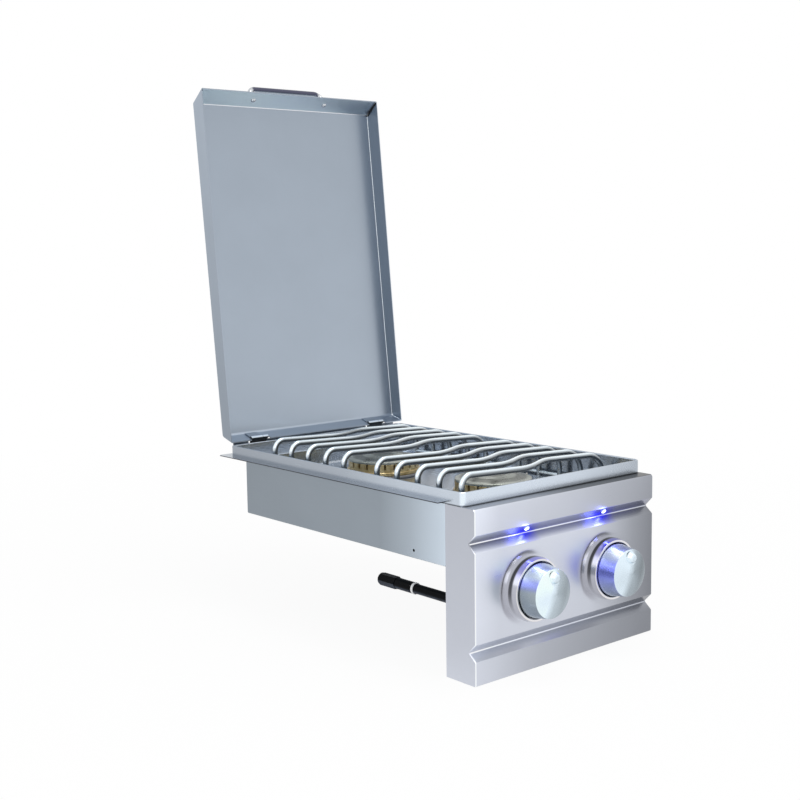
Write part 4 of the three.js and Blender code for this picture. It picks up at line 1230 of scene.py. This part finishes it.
def lid_handle():
    half = HANDLE_SPAN / 2
    corners = [
        front_wall_place(-half, GAP), front_wall_place(-half, HANDLE_STAND),
        front_wall_place(half, HANDLE_STAND), front_wall_place(half, GAP),
    ]
    form = bar(rounded(corners, [HANDLE_BEND, HANDLE_BEND], 10), HANDLE_RADIUS, SMALL, nose=0.02)
    handle = make("handle_bar", on_lid(form), "polished_steel", "lid_handle", body="lid")

    # Painted reflection: the bar is dark over its top and front and light underneath, and its ends are a
    # little darker.
    def shaded(place, way):
        return grade(way.z, (-0.6, 0.3), (-0.35, -0.86), (0.9, -0.8)) if abs(place.x) < half - 6 else -0.1

    # Painted blue lamp light along the bar's top and front.
    def lit(place, way):
        return 0.05 if abs(place.x) < half - 6 and way.z > -0.4 and way.y < 0.3 else 0

    glow(paint_light(handle, shaded), lit)


def handle_screw(side):
    """A button head screw on the inner side of the lid's front wall."""
    seat = -SHEET - GAP
    arc = steps(0, QUARTER, 8)
    head = [(HEAD_RADIUS * cos(a), seat - HEAD_EDGE - HEAD_DOME * sin(a)) for a in arc]
    profile = [
        (0, SHANK_END), (SHANK_RADIUS, SHANK_END), (SHANK_RADIUS, seat), (HEAD_RADIUS, seat), *head[:-1],
        (DRIVE_RADIUS, head[-1][1]), (DRIVE_RADIUS - 0.1, DRIVE_END), (0, DRIVE_END),
    ]
    out = Vector((0, FRONT_SLANT.y, FRONT_SLANT.x)).normalized()
    place = front_wall_place(SIDES[side] * HANDLE_SPAN / 2, 0)
    form = lathe(profile, SMALL).move(Matrix.Translation(place) @ facing(out))
    make(side + "_screw", on_lid(form), "polished_steel", side + "_handle_screw", body="lid")


lid_shell()
lid_handle()
for side in SIDES:
    handle_screw(side)


# Hinges

KNUCKLE_RADIUS = 3.2
KNUCKLE_BORE = 1.8
LEAF_SHEET = 1.5
LEAF_LENGTH = 18
FIXED_KNUCKLE = 10
STOP_THICKNESS = 3
STOP_START = 3
STOP_HEIGHT = 7
NECK_DROP = 2
PIN_NOSE = 0.3
PIN_END = 1.2
UPSTAND_FRONT = -1.5
UPSTAND_TOP = RIM_HEIGHT + 2.2


def knuckle(start, end):
    """A rolled knuckle with its bore, from one X place to another, round the middle."""
    profile = tube_profile(KNUCKLE_BORE, KNUCKLE_RADIUS, start, end, [0.3, 0.3, 0.3], 3)
    return along_x(lathe(profile, ROUND, closed=True))


def knuckle_painted_light(place, way):
    """Painted light and shade: knuckles are light on top, and dark below and at their ends."""
    return -0.9 if abs(way.x) > 0.6 else grade(way.z, (0, -0.95), (0.25, 0.4), (1, 0.8))


# Painted shadow: the bracket's faces that look forward, under the knuckle, are nearly black.
def bracket_painted_shadow(place, way):
    return -0.88 if way.y < -0.3 else -0.1


def wall_height(y):
    """The height of the open lid's rear wall over a place behind the hinge."""
    low, high = on_lid(Form().add([(0, 0, 0), (0, *REAR_SLANT)], [])).places
    return low.z + (high.z - low.z) * (y - low.y) / (high.y - low.y)


def upstand():
    """A low strip behind the rim, which closes the gap under the open lid on both sides of each hinge."""
    reach = span("left_hinge_bracket")[0].x, span("left_hinge_bracket")[1].x
    near, far = reach[0] - GAP, reach[1] + GAP
    gaps = [(-HALF + RIM_CORNER, near), (far, -far), (-near, HALF - RIM_CORNER)]
    back = UPSTAND_FRONT + SHEET
    for i, (start, end) in enumerate(gaps):
        form = slab(UPSTAND_FRONT, back, SHEET, UPSTAND_TOP, start, end)
        strip = make(f"rear_upstand_{i + 1}", form, "pan_steel")
        # Painted shade: the strips are darker than the pan.
        paint_light(strip, lambda place, way: -0.3)


def hinge(side):
    """The fixed bracket, the pin, and the leaf that turns with the lid."""
    leaf_low, leaf_high = span(side + "_lid_hinge_leaf")
    low, high = span(side + "_hinge_bracket")
    pin_low, pin_high = span(side + "_hinge_pin")
    split = high.x - FIXED_KNUCKLE
    rear = REAR_SLANT.normalized()
    across = Vector((rear.y, -rear.x))
    axis = Vector((HINGE_INSET, HINGE_RISE))
    up = axis.dot(rear)
    near = SHEET + GAP
    corners = [
        rear * up + across * near, rear * (up + LEAF_LENGTH) + across * near,
        rear * (up + LEAF_LENGTH) + across * (near + LEAF_SHEET), rear * up + across * (near + LEAF_SHEET),
    ]
    plate = on_lid(prism(corners, leaf_low.x, leaf_high.x))
    tube = knuckle(leaf_low.x, leaf_high.x).shift(0, HINGE.y, HINGE.z)
    node = side + "_lid_hinge_leaf"
    make(side + "_leaf_plate", plate, "lid_steel", node, body="lid")
    paint_light(make(side + "_leaf_knuckle", tube, "body_steel", node, body="lid"), knuckle_painted_light)
    node = side + "_hinge_bracket"
    fixed = knuckle(split + GAP / 2, high.x).shift(0, HINGE.y, HINGE.z)
    paint_light(make(side + "_bracket_knuckle", fixed, "body_steel", node), knuckle_painted_light)
    front, bottom = PAN_BACK + GAP, low.z
    back = front + LEAF_SHEET
    top = HINGE.z - KNUCKLE_RADIUS + 0.1
    plate = slab(front, back, bottom, top, low.x, high.x)
    paint_light(make(side + "_bracket_plate", plate, "body_steel", node), bracket_painted_shadow)
    neck = slab(front, back, top, HINGE.z - NECK_DROP, split, high.x)
    paint_light(make(side + "_bracket_neck", neck, "body_steel", node), bracket_painted_shadow)
    tip, bearing = high.y, back + STOP_START
    stop = [
        (back, bottom), (back + LEAF_SHEET, bottom), (tip, wall_height(tip) - GAP - STOP_HEIGHT),
        (tip, wall_height(tip) - GAP), (bearing, wall_height(bearing) - GAP), (back, RIM_HEIGHT),
    ]
    make(side + "_lid_stop", prism(stop, high.x - STOP_THICKNESS, high.x), "body_steel", node)
    start, end, radius = pin_low.x, pin_high.x, KNUCKLE_BORE - GAP
    profile = [
        (0, start), (PIN_END, start), (radius, start + PIN_NOSE),
        (radius, end - PIN_NOSE), (PIN_END, end), (0, end),
    ]
    pin = along_x(lathe(profile, SMALL)).shift(0, HINGE.y, HINGE.z)
    # Painted shade: the pin is dark all over.
    paint_light(make(side + "_pin", pin, "body_steel", side + "_hinge_pin"), lambda place, way: -0.9)


upstand()
for side in SIDES:
    hinge(side)


# Grates

GRATE_RADIUS = 4
GRATE_AXIS = 34
GRATE_FALL = 14
GRATE_PITCH = 42.5
GRATE_COUNT = 5
GRATE_SHIFT = 40
GRATE_SHIFT_LENGTH = 110
GRATE_LEFT_BEND = 15
GRATE_RIGHT_BEND = 35
TIE_RADIUS = 3


def grate_line(setback, half, foot):
    """The middle line of one bar, from foot to foot, swept back by an S and lower at its right end."""
    reach = GRATE_SHIFT_LENGTH / 2

    def place(x, z=None):
        share = min(max(x / GRATE_SHIFT_LENGTH + 0.5, 0), 1)
        height = GRATE_AXIS - GRATE_FALL * (x / (2 * half) + 0.5) if z is None else z
        return Vector((x, setback + GRATE_SHIFT * (1 - cos(pi * share)) / 2, height))

    rise = rounded([place(-half, foot), place(-half), place(-reach)], [GRATE_LEFT_BEND], 10)
    fall = rounded([place(reach), place(half), place(half, foot)], [GRATE_RIGHT_BEND], 14)
    return rise + [place(x) for x in steps(-reach, reach, 22)[1:-1]] + fall


def bar_painted_light(place, way):
    """Painted light and shade: polished bars are light on top and to the left, and dark underneath."""
    light = 0.85 * way.z - 0.5 * way.x - 0.15 * way.y
    return grade(light, (-0.8, -0.9), (-0.1, -0.75), (0.3, -0.5), (0.5, -0.1), (0.72, 0.8))


def grate(name):
    low, high = span(name + "_grate")
    half = high.x - GRATE_RADIUS
    body = name + "_grate_set"
    node = name + "_grate"
    setback = low.y + GRATE_RADIUS
    for i in range(GRATE_COUNT):
        form = bar(grate_line(setback + i * GRATE_PITCH, half, low.z), GRATE_RADIUS, nose=0.02)
        paint_light(make(f"{name}_grate_bar_{i + 1}", form, "grate_steel", node, body=body), bar_painted_light)
    for side, sign in SIDES.items():
        start = setback + (GRATE_SHIFT if sign > 0 else 0) - GRATE_RADIUS
        end = start + (GRATE_COUNT - 1) * GRATE_PITCH + 2 * GRATE_RADIUS
        path = [Vector((sign * half, y, low.z + TIE_RADIUS)) for y in (start, end)]
        form = bar(path, TIE_RADIUS, SMALL, nose=0.6)
        paint_light(make(f"{name}_grate_tie_{side}", form, "grate_steel", node, body=body), bar_painted_light)


for name in BURNERS:
    grate(name)


# Burners

RING_INNER = 37
RING_OUTER = 57
RING_STEP = 2
RING_STEP_HEIGHT = 5
PORTS = 24
PORT_WIDTH = 3
PORT_HEIGHT = 8
PORT_DEPTH = 9
COLLAR_BORE = 4.6
COLLAR_RADIUS = 8
CAP_SPIGOT = 5
CAP_EDGE = 3.5
CAP_WALL = 3

# Painted shade on a cap from its middle to its rim
CAP_PAINTED_SHADE = ((0, -0.45), (0.28, -0.5), (0.32, 0), (0.55, -0.1), (0.62, -0.6), (0.84, -0.55), (0.9, 0.1))


def burner_base(name):
    low, high = span(name + "_burner_base")
    place = BURNER_PLACES[name]
    flange, cup, wall, top = 61, 34, 4, high.z
    bottom = low.z
    corners = [
        (0, bottom), (cup, bottom), (cup, top - 3), (flange, top - 3), (flange, top),
        (cup - wall, top), (cup - wall, bottom + wall), (0, bottom + wall),
    ]
    profile = rounded(corners, [4, 0.6, 0.8, 0.8, 1, 3], 5)
    form = lathe(profile, FINE).shift(0, place.y)
    make(name + "_cup", form, "cast_aluminium", name + "_burner_base")
    sign = 1 if high.x > -low.x else -1
    reach = max(high.x, -low.x)
    collar = tube_profile(COLLAR_BORE, COLLAR_RADIUS, 0, reach - cup + 2, [0.8, 0.8, 0.4])
    form = along_x(lathe(collar, ROUND, closed=True)).shift(cup - 2)
    form.move(Matrix.Rotation(0 if sign > 0 else pi, 4, "Z")).shift(0, place.y, TUBE_HEIGHT)
    make(name + "_inlet", form, "cast_aluminium", name + "_burner_base")


def burner_ring(name):
    """The brass ring, with square ports round its upper edge."""
    low, high = span(name + "_burner_ring")
    place = BURNER_PLACES[name]
    upper = RING_OUTER - RING_STEP
    floor = high.z - PORT_HEIGHT
    step = low.z + RING_STEP_HEIGHT
    inner = RING_OUTER - PORT_DEPTH
    land = PORT_WIDTH / 2
    rows = []
    heights = [
        (RING_INNER, high.z - 0.6, 0), (RING_INNER, low.z, 0), (RING_OUTER - 0.6, low.z, 0),
        (RING_OUTER, low.z + 0.6, 0), (RING_OUTER, step - 0.6, 0), (RING_OUTER - 0.6, step, 0),
        (upper, step, 0), (upper, floor, 0), (upper, high.z - 0.4, 1), (upper - 0.4, high.z, 1),
        (inner, high.z, 1), (RING_INNER + 0.6, high.z, 0),
    ]
    for radius, z, cut in heights:
        row = []
        for i in range(PORTS):
            centre = FULL_TURN * (i + 0.5) / PORTS
            half = asin(land / radius)
            next_half = FULL_TURN / PORTS - half
            for angle, sunk in (
                (centre - half, 0), (centre - half, 1), (centre, 1), (centre + half, 1), (centre + half, 0),
                *[(centre + half + (next_half - half) * share, 0) for share in (0.25, 0.5, 0.75)],
            ):
                level = floor if cut and sunk else z
                row.append(Vector((radius * cos(angle), radius * sin(angle), level)))
        rows.append(row)
    form = Form().grid(rows, around=True, along=True).shift(0, place.y)
    make(name + "_port_ring", form, "burner_brass", name + "_burner_ring")


def burner_cap(name):
    """A domed cap with turned steps on its face and a spigot under it."""
    low, high = span(name + "_burner_cap")
    place = BURNER_PLACES[name]
    radius = high.x
    bottom = low.z + CAP_SPIGOT
    rise = high.z - bottom - CAP_EDGE
    spigot = RING_INNER - GAP
    face = []
    for share in steps(1, 0, 40):
        height = bottom + CAP_EDGE + rise * (1 - share * share)
        step = 0.5 if 0.28 < share < 0.32 or 0.6 < share < 0.64 else 0
        face.append((radius * share, height - step))
    hollow = spigot - CAP_WALL
    under = [(0, bottom), (hollow, bottom), (hollow, low.z), (spigot, low.z), (spigot, bottom)]
    rim = rounded([(spigot, bottom), (radius, bottom), face[0], face[1]], [0.8, 1.2], 5)
    form = lathe(under + rim[1:-1] + face[1:], FINE).shift(0, place.y)
    cap = make(name + "_cap_disc", form, "cap_steel", name + "_burner_cap", body=name + "_cap")

    # Painted shade on the cap's face by distance from its middle, with lighter bands.
    def turned(spot, way):
        share = hypot(spot.x, spot.y - place.y) / radius
        return grade(share, *CAP_PAINTED_SHADE)

    paint_light(cap, turned)


def igniter(name):
    low, high = span(name + "_igniter")
    place = middle(name + "_igniter")
    base, shoulder = WELL_FLOOR + GAP, high.z - 6
    body, collar, tip, top = 3.4, 5.4, 1.1, base + 2.5
    corners = [
        (0, low.z), (body, low.z), (body, base), (collar, base), (collar, top), (body, top),
        (body, shoulder), (tip, shoulder), (tip, high.z), (0, high.z),
    ]
    profile = rounded(corners, [0.4, 0.2, 0.5, 0.5, 0.3, 0.9, 0.2, 0.5], 4)
    form = lathe(profile, ROUND).shift(place.x, place.y)
    make(name + "_spark", form, "white_ceramic", name + "_igniter")


for name in BURNERS:
    burner_base(name)
    burner_ring(name)
    burner_cap(name)
    igniter(name)


# Gas inlet

PIPE_RADIUS = 6.75
PIPE_BEND = 20
SEAL_RADIUS = 8.2
SEAL_SHORTER = 2
SLEEVE_RADIUS = 7.9
NUT_HALF = 8
NUT_BORE = 5
NUT_CHAMFER = 1.2
NUT_FACE = 8.4


def pipe_painted_light(place, way):
    """Painted highlight and shade: black tubes have a pale streak along their lower left side, and are darker
    elsewhere.
    """
    streak = 1 - abs(way.z + 0.5) / 0.3
    return 5 * streak if streak > 0 and way.x < 0 else -0.7


def inlet():
    """The manifold pipe with its white ring, sleeve and end nut."""
    low, high = span("manifold_pipe")
    x = low.x + PIPE_RADIUS
    depth = low.y + PIPE_RADIUS
    height = (low.z + high.z) / 2
    corners = [Vector((high.x, depth, height)), Vector((x, depth, height)), Vector((x, high.y, height))]
    form = bar(rounded(corners, [PIPE_BEND], 12), PIPE_RADIUS, SMALL, nose=0.1)
    paint_light(make("pipe", form, "black_pipe", "manifold_pipe"), pipe_painted_light)
    bore_radius = PIPE_RADIUS + GAP
    for node, name, outer, shorter, slot in (
        ("inlet_seal_ring", "inlet_seal", SEAL_RADIUS, SEAL_SHORTER, "white_plastic"),
        ("inlet_sleeve", "sleeve_tube", SLEEVE_RADIUS, 0, "black_pipe"),
    ):
        start, end = (corner.y for corner in span(node))
        start, end = start + shorter, end - shorter
        profile = tube_profile(bore_radius, outer, start, end, [0.7, 0.7, 0.3])
        form = along_y(lathe([(p.x, -p.y) for p in profile], ROUND)).move(Matrix.Scale(-1, 4, (0, 1, 0)))
        tube = make(name, form.shift(x, 0, height), slot, node)
        if slot == "black_pipe":
            paint_light(tube, pipe_painted_light)
    start, end = (corner.y for corner in span("inlet_nut"))
    rows = []
    for radius, y in (
        (NUT_BORE, end), (NUT_BORE, start), (NUT_FACE, start),
        (0, start + NUT_CHAMFER), (0, end - NUT_CHAMFER), (NUT_FACE, end),
    ):
        row = []
        for k in range(ROUND):
            angle = FULL_TURN * k / ROUND
            flat = NUT_HALF / cos((angle + pi / 6) % (pi / 3) - pi / 6)
            reach = radius or flat
            row.append(Vector((reach * sin(angle), y, reach * cos(angle))))
        rows.append(row)
    form = Form().grid(rows, around=True, along=True)
    paint_light(make("inlet_hexagon", form.shift(x, 0, height), "black_pipe", "inlet_nut"), pipe_painted_light)


inlet()


# The CAD nodes that keep their own mesh

SLOTS = {row["node"]: row["material_slot"] for row in frame["record"]["subparts"]}

for name, kept in frame["nodes"].items():
    if not kept.hide_render:
        kept.data.materials.clear()
        kept.data.materials.append(finish(SLOTS[name]))
